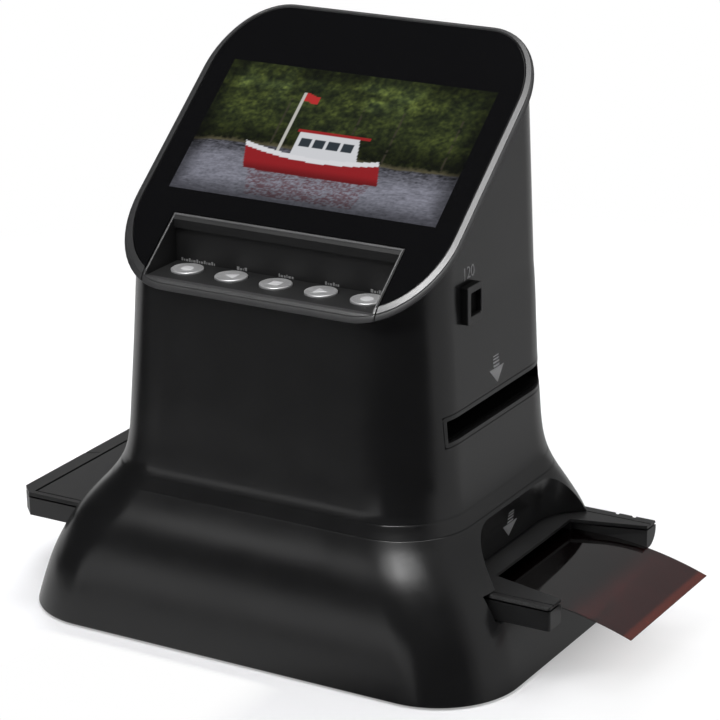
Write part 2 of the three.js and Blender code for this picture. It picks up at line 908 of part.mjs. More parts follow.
// The tray from above, with its two arms, between two heights. Its back edge is rounded off.
function trayPlate(low, high) {
  const { chamfer, armEndRadius } = tray;
  const backRight = trayRight - tray.backArmShort;
  const armRootHalf = film.width / 2 - tray.armRootInset;
  const armEndHalf = film.width / 2 + tray.armEndRoom;
  const points = [[trayLeft + chamfer, trayFront]];
  const addCorner = (x, y, start) => {
    for (let step = 0; step <= 4; step += 1) {
      const turn = start + (step / 4) * (Math.PI / 2);
      points.push([x + armEndRadius * Math.cos(turn), y + armEndRadius * Math.sin(turn)]);
    }
  };
  addCorner(trayRight - armEndRadius, trayFront + armEndRadius, -Math.PI / 2);
  points.push([trayRight, tray.y - armEndHalf]);
  points.push([trayArmRoot, tray.y - armRootHalf]);
  points.push([trayArmRoot, tray.y + armRootHalf]);
  points.push([backRight, tray.y + armEndHalf]);
  points.push([backRight, trayBack]);
  points.push([trayLeft + chamfer, trayBack]);
  points.push([trayLeft, trayBack - chamfer]);
  points.push([trayLeft, trayFront + chamfer]);
  return raised(points, low, high).intersect(trayProfile());
}

// The tray's section: square in front, round at the back
function trayProfile() {
  const top = trayTop + gap;
  const bottom = tray.bottom - gap;
  const widest = trayTop - tray.backWidest;
  const points = [[trayFront - overrun, top], [trayFront - overrun, bottom]];
  const addArc = (reach, height, start) => {
    for (let step = 0; step <= tray.roundSteps; step += 1) {
      const turn = start + (step / tray.roundSteps) * (Math.PI / 2);
      points.push([trayBack - reach + reach * Math.cos(turn), widest + height * Math.sin(turn)]);
    }
  };
  addArc(tray.backRoundUnder, widest - bottom, -Math.PI / 2);
  addArc(tray.backRoundOver, top - widest, 0);
  return runAlongX(points, trayLeft - overrun, trayRight + overrun);
}

const hingePinX = [
  trayRight - tray.hingeEndInset - tray.hingePinLength / 2,
  trayLeft + tray.hingeEndInset + tray.hingePinLength / 2,
];
const hingePinY = trayBack - tray.hingeInset;
const hingePinZ = (trayLidBottom + trayBodyTop) / 2;

function hingePin(x) {
  return crossRod('x', tray.hingePinRadius, tray.hingePinLength, x, hingePinY, hingePinZ);
}

function hingeSockets() {
  return hingePinX.map((x) => (
    crossRod('x', tray.hingePinRadius + gap / 2, tray.hingePinLength + gap * 2, x, hingePinY, hingePinZ)
  ));
}

function trayGate(low, high) {
  const half = tray.apertureHalfLength;
  return block(-half, half, tray.y - gateHalfWidth, tray.y + gateHalfWidth, low, high);
}

const filmHalf = film.width / 2 + gap;
const channelStart = trayLeft + tray.channelInset;

function trayBody() {
  const plate = trayPlate(tray.bottom, trayBodyTop);
  const channel = block(
    channelStart, trayRight + overrun,
    tray.y - filmHalf, tray.y + filmHalf, filmBottom - gap, trayTop,
  );
  return cutAll(plate, [channel, trayGate(tray.bottom - overrun, trayTop), ...hingeSockets()]);
}

function trayLid() {
  const plate = trayPlate(trayLidBottom, trayTop);
  const railInner = filmHalf - tray.railWidth;
  const railOuter = filmHalf - gap;
  const rails = [-1, 1].map((side) => {
    const edges = [tray.y + side * railInner, tray.y + side * railOuter].sort((a, b) => a - b);
    return block(
      channelStart + gap, trayArmRoot, ...edges,
      filmBottom + film.thickness + gap, trayLidBottom + gap,
    );
  });
  const notches = [-1, 1].map((side) => {
    const x = hingePinX[0] + side * tray.notchPitch / 2;
    const half = tray.notchWidth / 2;
    return block(
      x - half, x + half, hingePinY, trayBack + overrun, trayLidBottom - gap, trayTop + overrun,
    );
  });
  const tick = block(
    trayLeft - overrun, trayLeft + tray.tickLength,
    tray.y - tray.tickWidth / 2, tray.y + tray.tickWidth / 2,
    trayTop - tray.borderDepth, trayTop + overrun,
  );
  const gate = trayGate(tray.bottom, trayTop + overrun);
  return cutAll(joinAll([plate, ...rails]), [trayBorder(), tick, gate, ...notches, ...hingeSockets()]);
}

// A fine groove round the lid's top, from its left end to the arms
function trayBorder() {
  const left = trayLeft + tray.borderLeft;
  const front = trayFront + tray.borderSide;
  const back = trayBack - tray.backRoundOver - tray.borderSide;
  const low = trayTop - tray.borderDepth;
  const high = trayTop + overrun;
  const width = tray.borderWidth;
  return block(left, trayRight + overrun, front, back, low, high)
    .subtract(block(
      left + width, trayRight + overrun * 2, front + width / 2, back - width / 2,
      low - overrun, high + overrun,
    ));
}

// A strip of roll film that lies in the tray and sags past its open end
function filmStrip() {
  const top = filmBottom + film.thickness;
  const drop = [];
  for (let step = 1; step <= film.droopSteps; step += 1) {
    const share = step / film.droopSteps;
    drop.push([filmDroopStart + (filmRight - filmDroopStart) * share, film.droop * share * share]);
  }
  const upper = drop.map(([x, sag]) => [x, top - sag]);
  const lower = drop.map(([x, sag]) => [x, filmBottom - sag]).reverse();
  const outline = [[filmLeft, filmBottom], [filmLeft, top], [filmDroopStart, top],
    ...upper, ...lower, [filmDroopStart, filmBottom]].reverse();
  return runAlongY(outline, tray.y - film.width / 2, tray.y + film.width / 2);
}

// Deck, cover and light inside the base

const deckTop = tunnelBottom;
const deckBottom = deckTop - deck.thickness;
const deckFront = tunnelFront - deck.rail;
const deckBack = tunnelBack + deck.rail;
const plateTopZ = floorPlate.bottom + floorPlate.thickness;

function trayDeck() {
  const whole = block(-deckHalfLength, deckHalfLength, deckFront, deckBack, deckBottom, tunnelTop);
  const legX = deckHalfLength - deck.legEndInset;
  const legs = [-legX, legX].flatMap((x) => [deckFront + deck.legInset, deckBack - deck.legInset].map((y) => (
    rod(deck.legRadius, deckBottom - plateTopZ, x, y, plateTopZ + gap)
  )));
  return cutAll(whole, [trayTunnel(), trayGate(deckBottom - overrun, tunnelTop)]).add(joinAll(legs));
}

function trayCover() {
  const low = tunnelTop + gap;
  const plate = block(
    -deckHalfLength, deckHalfLength, deckFront, deckBack, low, low + deck.coverThickness,
  );
  return plate.subtract(trayGate(low - overrun, low + overrun));
}

const diffuserTop = deckBottom - gap;
const diffuserBottom = diffuserTop - light.diffuserThickness;

function diffuser() {
  return block(
    -lightHalfLength, lightHalfLength,
    tray.y - lightHalfWidth, tray.y + lightHalfWidth, diffuserBottom, diffuserTop,
  );
}

function lightBox() {
  const top = diffuserBottom - gap;
  const bottom = top - light.boxDepth;
  const edge = light.boxWall;
  const whole = block(
    -lightHalfLength, lightHalfLength,
    tray.y - lightHalfWidth, tray.y + lightHalfWidth, bottom, top,
  );
  return whole.subtract(block(
    -lightHalfLength + edge, lightHalfLength - edge,
    tray.y - lightHalfWidth + edge, tray.y + lightHalfWidth - edge, bottom + light.boxFloor, top + overrun,
  ));
}

// Camera

const guideTop = guide.top + guide.border;
const bracketTop = guideTop + camera.bracketRise;
const bracketBottom = bracketTop - camera.bracketThickness;
const collarBottom = bracketTop + gap;
const barrelTop = collarBottom + camera.collarThickness + camera.barrelAbove;

function cameraBracket() {
  const half = camera.bracketHalfLength;
  const deep = camera.bracketHalfWidth;
  const whole = block(-half, half, guideY - deep, guideY + deep, guideTop + gap, bracketTop);
  const inside = half - camera.bracketThickness;
  const under = block(
    -inside, inside, guideY - deep - overrun, guideY + deep + overrun,
    guideTop - overrun, bracketBottom,
  );
  const holeDepth = camera.bracketThickness + overrun;
  const hole = rod(camera.barrelRadius + gap, holeDepth, 0, guideY, bracketBottom - gap);
  return cutAll(whole, [under, hole]);
}

function lensBarrel() {
  const bottom = collarBottom - camera.barrelBelow;
  const collarTop = collarBottom + camera.collarThickness;
  return turned([
    [camera.bore, bottom],
    [camera.barrelRadius, bottom],
    [camera.barrelRadius, collarBottom],
    [camera.barrelCollar, collarBottom],
    [camera.barrelCollar, collarTop],
    [camera.barrelRadius, collarTop],
    [camera.barrelRadius, barrelTop],
    [camera.bore, barrelTop],
    [camera.bore, bottom],
  ]).translate([0, guideY, 0]);
}

function frontLens() {
  const edgeBottom = collarBottom - camera.barrelBelow + camera.lensCrown;
  const edgeTop = edgeBottom + camera.lensEdge;
  return turned([
    [0, edgeBottom - camera.lensCrown],
    [camera.lensRadius / 2, edgeBottom - camera.lensCrown * 0.75],
    [camera.lensRadius, edgeBottom],
    [camera.lensRadius, edgeTop],
    [camera.lensRadius / 2, edgeTop + camera.lensCrown * 0.75],
    [0, edgeTop + camera.lensCrown],
  ]).translate([0, guideY, 0]);
}

function sensorBoard() {
  const bottom = barrelTop + gap;
  const half = camera.boardHalf;
  return block(-half, half, guideY - half, guideY + half, bottom, bottom + camera.boardThickness);
}

function imageSensor() {
  const half = camera.sensorHalf;
  return block(-half, half, guideY - half, guideY + half, barrelTop - camera.sensorThickness, barrelTop);
}

// Main board and its sockets

function mainBoard() {
  return block(
    -board.halfWidth, board.halfWidth, boardY, boardFaceY, board.bottom, board.bottom + board.height,
  );
}

// A socket between the board and the back wall, open to the outside
function socket(port, slotWidth, slotTall) {
  const outside = block(
    port.x - port.width / 2, port.x + port.width / 2, boardFaceY + gap, bodyDepth,
    portHeight(port) - port.tall / 2, portHeight(port) + port.tall / 2,
  ).intersect(bodyForm(base.seam, faceTop, -gap));
  const slot = block(
    port.x - slotWidth / 2, port.x + slotWidth / 2, boardFaceY + gap + port.back, bodyDepth,
    portHeight(port) - slotTall / 2, portHeight(port) + slotTall / 2,
  );
  return outside.subtract(slot);
}

// A flat ribbon from the back of the panel down to the top of the main board
function displayRibbon() {
  const along = lcd.height / 2 - lcd.bracketShort / 2;
  const startY = faceY + along * Math.cos(face.angle) - lcdBack * Math.sin(face.angle);
  const startZ = face.height + along * Math.sin(face.angle) + lcdBack * Math.cos(face.angle);
  const endY = boardY + board.thickness / 2;
  const endZ = board.bottom + board.height + gap;
  const curve = new THREE.CubicBezierCurve(
    new THREE.Vector2(startY, startZ),
    new THREE.Vector2((startY + endY) / 2, startZ - (endY - startY)),
    new THREE.Vector2(endY, (startZ + endZ) / 2),
    new THREE.Vector2(endY, endZ),
  );
  const near = [];
  const far = [];
  for (let step = 0; step <= ribbon.steps; step += 1) {
    const point = curve.getPoint(step / ribbon.steps);
    const tangent = curve.getTangent(step / ribbon.steps);
    const across = new THREE.Vector2(-tangent.y, tangent.x).multiplyScalar(ribbon.thickness / 2);
    near.push([point.x + across.x, point.y + across.y]);
    far.push([point.x - across.x, point.y - across.y]);
  }
  return runAlongX([...near, ...far.reverse()], -ribbon.width / 2, ribbon.width / 2);
}

// Finishes

function finish(colour, roughness, metalness = 0) {
  return new THREE.MeshStandardMaterial({ color: colour, roughness, metalness });
}

const satinBlack = finish(0x161617, 0.42);
const innerBlack = finish(0x1d1d1e, 0.6);
const trimBlack = finish(0x2b2b2c, 0.5);
const glossBlack = finish(0x050506, 0.08);
const silver = finish(0xb9babb, 0.35, 0.6);
const rubber = finish(0x101010, 0.9);
const steel = finish(0x9a9c9f, 0.35, 1);
const circuit = finish(0x1f5a35, 0.6);
const opal = finish(0xf2f2ee, 0.5);
const glass = finish(0x9fb4c4, 0.05);
const amber = finish(0xb08a3a, 0.5);
const filmBrown = finish(0x3a1a16, 0.15);

function meshOf(name, shape, material) {
  const geometry = shape instanceof THREE.BufferGeometry ? shape : toGeometry(shape);
  const mesh = new THREE.Mesh(geometry, material);
  mesh.name = name;
  return mesh;
}

const baseGroup = new THREE.Group();
baseGroup.add(
  meshOf('base_shell', baseShell(), satinBlack),
  meshOf('bottom_plate', floorPlateSolid(), innerBlack),
  meshOf('tray_deck', trayDeck(), innerBlack),
  meshOf('tray_cover', trayCover(), innerBlack),
  meshOf('diffuser', diffuser(), opal),
  meshOf('backlight_panel', lightBox(), opal),
);
footPlaces.forEach(([x, y], i) => baseGroup.add(meshOf(`foot_${i + 1}`, footSolid(x, y), rubber)));
postPlaces.forEach(([x, y], i) => (
  baseGroup.add(meshOf(`bottom_screw_${i + 1}`, screwSolid(x, y), steel))
));

const towerGroup = new THREE.Group();
towerGroup.add(
  meshOf('tower_shell', towerShell(), satinBlack),
  meshOf('upper_film_guide', upperGuide(), satinBlack),
  meshOf('selector_knob', selectorKnob(), trimBlack),
  meshOf('selector_clip', selectorClip(), innerBlack),
  meshOf('selector_housing', selectorHousing(), innerBlack),
  meshOf('camera_bracket', cameraBracket(), steel),
  meshOf('lens_barrel', lensBarrel(), innerBlack),
  meshOf('front_lens', frontLens(), glass),
  meshOf('sensor_board', sensorBoard(), circuit),
  meshOf('image_sensor', imageSensor(), glossBlack),
  meshOf('main_board', mainBoard(), circuit),
  meshOf('usb_socket', socket(usb, usb.width - usb.shell * 2, usb.tall - usb.shell * 2), steel),
  meshOf('card_socket', socket(card, card.slotWidth, card.slotTall), steel),
  meshOf('display_ribbon', displayRibbon(), amber),
);

const headGroup = new THREE.Group();
headGroup.add(
  meshOf('bezel_frame', bezelFrame(), trimBlack),
  meshOf('screen_window', screenWindow(), glossBlack),
  meshOf('button_well', buttonWell(), trimBlack),
  meshOf('button_board', buttonBoardSolid(), circuit),
);
buttonPlaces.forEach((x, i) => {
  const mesh = meshOf(`button_${i + 1}`, buttonSolid(), silver);
  mesh.position.set(x, buttonY, 0);
  headGroup.add(mesh);
});

const displayGroup = new THREE.Group();
displayGroup.position.set(0, faceY, face.height);
displayGroup.rotation.x = face.angle;
displayGroup.add(
  meshOf('lcd_panel', lcdPanel(), glossBlack),
  meshOf('lcd_bracket', lcdBracket(), steel),
);

const trayGroup = new THREE.Group();
trayGroup.add(
  meshOf('tray_body', trayBody(), satinBlack),
  meshOf('tray_lid', trayLid(), trimBlack),
  meshOf('film_strip', filmStrip(), filmBrown),
);
hingePinX.forEach((x, i) => trayGroup.add(meshOf(`tray_hinge_pin_${i + 1}`, hingePin(x), steel)));

// The origin under the middle of the whole object, tray and film included
const scanner = new THREE.Group();
scanner.position.set(
  -(trayLeft + filmRight) / 2,
  -(foundation.front + foundation.back) / 2,
  0,
);
scanner.add(baseGroup, towerGroup, headGroup, displayGroup, trayGroup);

export default scanner;
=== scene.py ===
import math

import bmesh
import bpy
import numpy as np
from mathutils import Matrix, Vector


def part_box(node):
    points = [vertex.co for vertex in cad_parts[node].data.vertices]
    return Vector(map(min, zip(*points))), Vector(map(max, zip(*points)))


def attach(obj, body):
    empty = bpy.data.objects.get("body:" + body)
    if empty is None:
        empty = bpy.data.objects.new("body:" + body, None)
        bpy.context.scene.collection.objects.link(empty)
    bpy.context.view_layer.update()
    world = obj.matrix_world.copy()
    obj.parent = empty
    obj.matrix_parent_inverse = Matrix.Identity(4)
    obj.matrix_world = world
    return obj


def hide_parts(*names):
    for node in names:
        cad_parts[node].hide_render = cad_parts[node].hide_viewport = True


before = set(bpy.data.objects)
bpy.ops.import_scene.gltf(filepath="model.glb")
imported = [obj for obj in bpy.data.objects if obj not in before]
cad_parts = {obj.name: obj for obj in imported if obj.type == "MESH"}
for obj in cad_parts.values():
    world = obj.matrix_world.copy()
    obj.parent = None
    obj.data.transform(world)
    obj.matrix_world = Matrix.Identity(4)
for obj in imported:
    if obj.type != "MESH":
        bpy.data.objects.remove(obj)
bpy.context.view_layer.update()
scene = bpy.context.scene
scene.view_settings.view_transform = "Standard"


# Camera: to the right of the scanner and above it, well back with a long lens.
camera_turn = math.radians(30.92)
camera_rise = math.radians(19.55)
camera_roll = math.radians(-0.98)
camera_place = (0.5095, -0.8382, 0.4421)


def placed(centre, *axes):
    """The place and turn of an object whose own x, y and z run along three axes."""
    return Matrix.Translation(centre) @ Matrix(axes).transposed().to_4x4()


camera = bpy.data.objects.new("camera", bpy.data.cameras.new("camera"))
camera.data.sensor_width = 36
camera.data.lens = 147.2
camera.data.clip_start = 0.05
backward = Vector((
    math.sin(camera_turn) * math.cos(camera_rise),
    -math.cos(camera_turn) * math.cos(camera_rise),
    math.sin(camera_rise),
))
level = Vector((math.cos(camera_turn), math.sin(camera_turn), 0))
upward = backward.cross(level)
across = level * math.cos(camera_roll) + upward * math.sin(camera_roll)
above = upward * math.cos(camera_roll) - level * math.sin(camera_roll)
camera.matrix_world = placed(camera_place, across, above, backward)
scene.collection.objects.link(camera)
scene.camera = camera


# Studio: a white table and background, three strip lights from overhead to the front left, one
# with a part that only gloss shows, softboxes above and behind, and a white card low in front.
# Gloss sees a room that is pale behind the scanner and on its right, and dark towards the camera.
table_size = 1.1
table_white = (0.86, 0.86, 0.885, 1)
table_lift, table_lift_right = 0.3, 0.86
fade_from, fade_to = 0.24, 0.5
ambient = 0.2
behind_pale, right_pale = 0.24, 0.265
pale_way = (0.35, 0.94)
lamp_distance = 1.3
lamps = [
    # name, turn and rise of one end, turn and rise of the other end, width, watts, in gloss, on matt
    ("key", (-46, 70), (-99, 53.5), 0.12, 5.5, True, True),
    ("key_shine", (-46, 70), (-99, 53.5), 0.12, 24, True, False),
    ("key_end", (-99, 53.5), (-113, 43), 0.12, 2.4, True, True),
    ("left", (-113, 43), (-130, 28), 0.10, 0.8, True, True),
    ("overhead", (60, 64), (-120, 82), 0.80, 8, True, True),
    ("behind", (95, 40), (135, 40), 0.50, 11, False, True),
    ("card", (-140, 1.2), (-86, 1.2), 0.24, 0.76, True, True),
]


def plug(tree, inputs, values):
    """Gives inputs their values: sockets are linked, and plain values are set."""
    for key, value in values.items():
        if isinstance(value, bpy.types.NodeSocket):
            tree.links.new(value, inputs[key])
        else:
            inputs[key].default_value = value


def node(tree, kind, values=None, **settings):
    """A shader node with its settings and the values of its inputs."""
    made = tree.nodes.new(kind)
    for name, value in settings.items():
        setattr(made, name, value)
    plug(tree, made.inputs, values or {})
    return made


def maths(tree, operation, total, *others, clamp=False):
    """One operation on all the values in turn."""
    for value in others:
        links = {0: total, 1: value}
        total = node(tree, "ShaderNodeMath", links, operation=operation, use_clamp=clamp).outputs[0]
    return total


def times(tree, *values):
    return maths(tree, "MULTIPLY", *values)


def largest(tree, *values):
    return maths(tree, "MAXIMUM", *values)


def ramp(tree, value, low, high, low_value=0.0, high_value=1.0):
    """A soft step of the value from low to high."""
    links = {"Value": value, "From Min": low, "From Max": high, "To Min": low_value, "To Max": high_value}
    return node(tree, "ShaderNodeMapRange", links, interpolation_type="SMOOTHSTEP").outputs[0]


def mixed(tree, share, first, second):
    return node(tree, "ShaderNodeMix", {"Factor": share, "A": first, "B": second}).outputs[0]


def emptied(owner):
    """The owner's node tree, cleared of its first nodes."""
    owner.use_nodes = True
    owner.node_tree.nodes.clear()
    return owner.node_tree


def rays(tree):
    """Whether a ray comes straight from the camera or through glass, and whether from gloss."""
    ray = node(tree, "ShaderNodeLightPath").outputs
    straight = maths(tree, "ADD", ray["Is Camera Ray"], ray["Is Transmission Ray"], clamp=True)
    return straight, ray["Is Glossy Ray"]


scene.world = bpy.data.worlds.new("studio")
tree = emptied(scene.world)
straight, glossy = rays(tree)
way = node(tree, "ShaderNodeTexCoord").outputs["Generated"]
way = node(tree, "ShaderNodeSeparateXYZ", {0: way}).outputs
behind = maths(tree, "ADD", times(tree, way["X"], pale_way[0]), times(tree, way["Y"], pale_way[1]))
behind = ramp(tree, behind, -0.1, 0.45, 0.0, behind_pale)
right = times(tree, ramp(tree, way["X"], 0.3, 0.9, 0.0, right_pale), ramp(tree, way["Y"], -0.45, 0.1))
strength = mixed(tree, glossy, ambient, maths(tree, "ADD", behind, right))
strength = mixed(tree, straight, strength, 1.0)
backdrop = node(tree, "ShaderNodeBackground", {"Color": (1, 1, 1, 1), "Strength": strength})
node(tree, "ShaderNodeOutputWorld", {"Surface": backdrop.outputs[0]})

lamp_target = Vector((0, 0, 0.08))


def lamp_place(turn, rise):
    turn, rise = math.radians(turn), math.radians(rise)
    way = Vector((math.cos(rise) * math.cos(turn), math.cos(rise) * math.sin(turn), math.sin(rise)))
    return lamp_target + way * lamp_distance


for name, one_end, other_end, width, watts, in_gloss, on_matt in lamps:
    start, stop = lamp_place(*one_end), lamp_place(*other_end)
    light = bpy.data.lights.new(name, "AREA")
    light.shape, light.size, light.size_y, light.energy = "RECTANGLE", (stop - start).length, width, watts
    box = bpy.data.objects.new(name, light)
    box.visible_glossy, box.visible_diffuse = in_gloss, on_matt
    away = ((start + stop) / 2 - lamp_target).normalized()
    lengthways = (stop - start).normalized()
    box.matrix_world = placed((start + stop) / 2, lengthways, away.cross(lengthways), away)
    scene.collection.objects.link(box)

corners = [(x * table_size, y * table_size, 0) for x, y in ((-1, -1), (1, -1), (1, 1), (-1, 1))]
table_mesh = bpy.data.meshes.new("table")
table_mesh.from_pydata(corners, [], [(0, 1, 2, 3)])
table = bpy.data.objects.new("table", table_mesh)
scene.collection.objects.link(table)
table_finish = bpy.data.materials.new("white_table")
tree = emptied(table_finish)
straight, glossy = rays(tree)
place = node(tree, "ShaderNodeTexCoord").outputs["Object"]
across, along, _ = node(tree, "ShaderNodeSeparateXYZ", {0: place}).outputs
paper = node(tree, "ShaderNodeBsdfDiffuse", {"Color": table_white}).outputs[0]
white = node(tree, "ShaderNodeEmission", {"Strength": 1.0}).outputs[0]

# To the camera the paper is mixed with plain white: fully far off and in front, partly nearby
from_middle = node(tree, "ShaderNodeVectorMath", {0: place}, operation="LENGTH").outputs["Value"]
front_left = times(tree, ramp(tree, across, 0.03, 0.0), ramp(tree, across, -0.092, -0.078))
front_left = times(tree, ramp(tree, along, -0.068, -0.074), front_left)
near = ramp(tree, across, 0.07, 0.13, table_lift, table_lift_right)
lift = times(tree, straight, largest(tree, ramp(tree, from_middle, fade_from, fade_to), front_left, near))
paper = node(tree, "ShaderNodeMixShader", {0: lift, 1: paper, 2: white}).outputs[0]

# In gloss the table is pale at the back and on the scanner's left, and dark in front
back_right = times(tree, ramp(tree, along, -0.10, 0.04), ramp(tree, across, -0.05, 0.1))
back_shine = times(tree, largest(tree, back_right, ramp(tree, along, 0.06, 0.2)), 0.45)
front_shine = times(
    tree, ramp(tree, along, -0.27, -0.19, 0.0, 0.6), ramp(tree, across, 0.06, -0.03),
    largest(tree, ramp(tree, across, -0.3, -0.2), ramp(tree, along, -0.05, 0.05)),
)
left_shine = times(tree, ramp(tree, across, -0.06, -0.22, 0.0, 0.1), ramp(tree, along, -0.1, -0.2))
shine = largest(tree, back_shine, front_shine, left_shine)
mirrored = node(tree, "ShaderNodeEmission", {"Strength": shine}).outputs[0]
paper = node(tree, "ShaderNodeMixShader", {0: glossy, 1: paper, 2: mirrored})
node(tree, "ShaderNodeOutputMaterial", {"Surface": paper.outputs[0]})
table.data.materials.append(table_finish)


# Base shell: injection-moulded in black ABS with a satin face, 2.4 mm thick, open below. It flares
# out to the table, has a tunnel for the tray right through it, a scooped mouth over the tray's
# right end, and is held to the tower by four screws from below.
wall = 2.4
gap = 0.3
slide_gap = 0.4
seam_height = 50.3
base_bottom = 0.8
tower_half_width, tower_front, tower_back = 63.3, 53.1, 48.5
tower_corner, lean_height, lean_share = 25, 75, 0.063
tighten_from, tighten_to, tighten = 75, 125, 5.3
flare_height, flare_side, flare_front, flare_back, flare_corner = 125, 34.2, 24.7, 2.8, 5.7

# Shares of the flare's height, and of its full width there
flare_shares = np.array([
    (0, 1), (0.072, 0.93), (0.152, 0.838), (0.224, 0.72), (0.288, 0.585), (0.344, 0.42),
    (0.392, 0.27), (0.448, 0.155), (0.52, 0.095), (0.64, 0.062), (0.8, 0.02), (1, -0.025),
])

# Heights, and the front face's lean there in degrees
front_slopes = np.array([
    (0, 9.5), (9, 11.2), (16, 13.2), (22, 16.2), (27, 19.4), (30, 21.2), (33.3, 23.8), (35, 25.5),
    (37, 28.2), (39, 30.3), (41.6, 31.4), (44, 30.9), (46.2, 29.6), (48.5, 28.2), (50.3, 27), (52, 25),
    (54, 22.8), (56, 20.6), (56.9, 19.4), (57.7, 11.2), (59, 9.9), (61.5, 8.4), (64.5, 7), (68, 5),
    (74, 3.4), (85, 2.9), (105, 2.75), (125, 2.4),
])

line_steps, evening_width = 500, 27
tray_y = -1
tray_bottom, tray_thickness = 23.3, 8.8
tray_front, tray_back = -45.2, 41.9
tray_top = tray_bottom + tray_thickness
tunnel_low, tunnel_high = tray_bottom - slide_gap, tray_top + slide_gap
pocket_x, pocket_front, pocket_back, pocket_corner, pocket_draft_share = 70.5, -42.2, 38, 20, 0.12
tunnel_front_room, pocket_start = 3.2, 1
inner_levels, fine_step, coarse_from = 40, 1.2, 128
sag_x, sag_half, sag_depth = 62, 33, 4.4
far_out, far_up = 140, 300
corner_steps = 16
usual_weld = 0.004

# The film's middle line and left end tie this frame to the scanner's own
film_left = -48
film_low, film_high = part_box("film_strip")
home = np.array([film_low.x * 1000 - film_left, (film_low.y + film_high.y) * 500 - tray_y, 0])


def spline(points, count):
    """Points on the smooth line through the given ones."""
    ends = np.vstack([points[:1], points, points[-1:]])
    line = []
    for share in np.linspace(0, len(points) - 1, count):
        i = min(int(share), len(points) - 2)
        t = share - i
        a, b, c, d = ends[i:i + 4]
        line.append(0.5 * (2 * b + (c - a) * t + (2 * a - 5 * b + 4 * c - d) * t * t
                           + (3 * b - a - 3 * c + d) * t ** 3))
    return np.array(line)


line_heights = np.linspace(0, flare_height, line_steps)
side_line = np.interp(np.linspace(0, 1, line_steps), *spline(flare_shares, line_steps).T)
side_line = np.pad(side_line, evening_width // 2 - 1, mode="reflect", reflect_type="odd")
evening = np.hanning(evening_width)[1:-1]
flare_side_line = np.convolve(side_line, evening, "valid") / evening.sum()
slopes = np.interp(line_heights, *spline(front_slopes, line_steps).T)
front_drop = np.cumsum(np.tan(np.radians(slopes)))
front_drop = (front_drop - front_drop[0]) / (front_drop[-1] - front_drop[0])
flare_front_line = 1 - front_drop * (1 - flare_shares[-1, 1])


def smooth_step(value, low, high):
    t = np.clip((value - low) / (high - low), 0, 1)
    return t * t * (3 - 2 * t)


def body_at(height):
    """Half width, front, back, front corner and back corner radius of the body at a height."""
    share = float(np.interp(height, line_heights, flare_side_line))
    front_share = float(np.interp(height, line_heights, flare_front_line))
    corner = tower_corner + flare_corner * share
    lean = lean_share * max(0, height - lean_height)
    return (
        tower_half_width + flare_side * share,
        -tower_front - flare_front * front_share,
        tower_back + flare_back * max(0, share) - lean,
        corner,
        corner - tighten * smooth_step(height, tighten_from, tighten_to),
    )


def arc(x, y, radius_x, radius_y, start, stop, steps=12):
    """Points on an arc. Its start and its stop are in half turns."""
    turns = np.linspace(start, stop, steps + 1) * math.pi
    return [(x + radius_x * math.cos(t), y + radius_y * math.sin(t)) for t in turns]


def rounded(low_x, high_x, low_y, high_y, near, far=None, steps=corner_steps):
    """A rounded rectangle, with a radius for its near corners and one for its far corners."""
    far = near if far is None else far
    return [point for x, y, radius, start in [
        (high_x - near, low_y + near, near, -0.5), (high_x - far, high_y - far, far, 0),
        (low_x + far, high_y - far, far, 0.5), (low_x + near, low_y + near, near, 1),
    ] for point in arc(x, y, radius, radius, start, start + 0.5, steps)]


def round_ring(low_x, high_x, low_y, high_y, front_radius, height, back_radius=None):
    """One level of a rounded rectangle. Its height is a number or a function of x and y."""
    outline = rounded(low_x, high_x, low_y, high_y, front_radius, back_radius)
    return np.array([(x, y, height(x, y) if callable(height) else height) for x, y in outline])


def body_ring(height, grow):
    half, front, back, corner, back_corner = body_at(height)
    return round_ring(
        -half - grow, half + grow, front - grow, back + grow, corner + grow, height, back_corner + grow,
    )


def make(name, points, faces, weld=usual_weld):
    """A piece from points in the scanner's own millimetres. A weld of 0 leaves its points as given."""
    mesh = bpy.data.meshes.new(name)
    mesh.from_pydata(((np.asarray(points, float) + home) / 1000).tolist(), [], faces)
    mesh.validate()
    if weld:
        tidy_mesh(mesh, weld)
    piece = bpy.data.objects.new(name, mesh)
    scene.collection.objects.link(piece)
    return piece


def band(low, high, count):
    """The faces between two rings of points, from the number of each ring's first point."""
    return [(low + i, low + (i + 1) % count, high + (i + 1) % count, high + i) for i in range(count)]


def loft(name, rings, tube=False):
    """A skin over a stack of rings. A tube joins its last ring to its first, and has no ends."""
    count, levels = len(rings[0]), len(rings)
    faces = []
    for level in range(levels if tube else levels - 1):
        faces += band(level * count, (level + 1) % levels * count, count)
    if not tube:
        faces.append(tuple(reversed(range(count))))
        faces.append(tuple(range((levels - 1) * count, levels * count)))
    return make(name, np.vstack(rings), faces, usual_weld if tube else 0)


def prism(name, outline, axis, low, high):
    """An outline in two directions, run along the third one (0, 1 or 2)."""
    count = len(outline)
    points = []
    for level in (low, high):
        for a, b in outline:
            points.append(((level, a, b), (a, level, b), (a, b, level))[axis])
    faces = band(0, count, count) + [tuple(reversed(range(count))), tuple(range(count, 2 * count))]
    return make(name, points, faces)


def around(middle, half):
    return middle - half, middle + half


def block(low_x, high_x, low_y, high_y, low_z, high_z):
    outline = [(low_x, low_y), (high_x, low_y), (high_x, high_y), (low_x, high_y)]
    return prism("tool", outline, 2, low_z, high_z)


def tidy_mesh(mesh, weld=usual_weld):
    """Merges doubled points and turns all faces outwards."""
    work = bmesh.new()
    work.from_mesh(mesh)
    bmesh.ops.remove_doubles(work, verts=work.verts, dist=weld / 1000)
    bmesh.ops.dissolve_degenerate(work, edges=work.edges, dist=weld / 2000)
    bmesh.ops.recalc_face_normals(work, faces=work.faces)
    work.to_mesh(mesh)
    work.free()


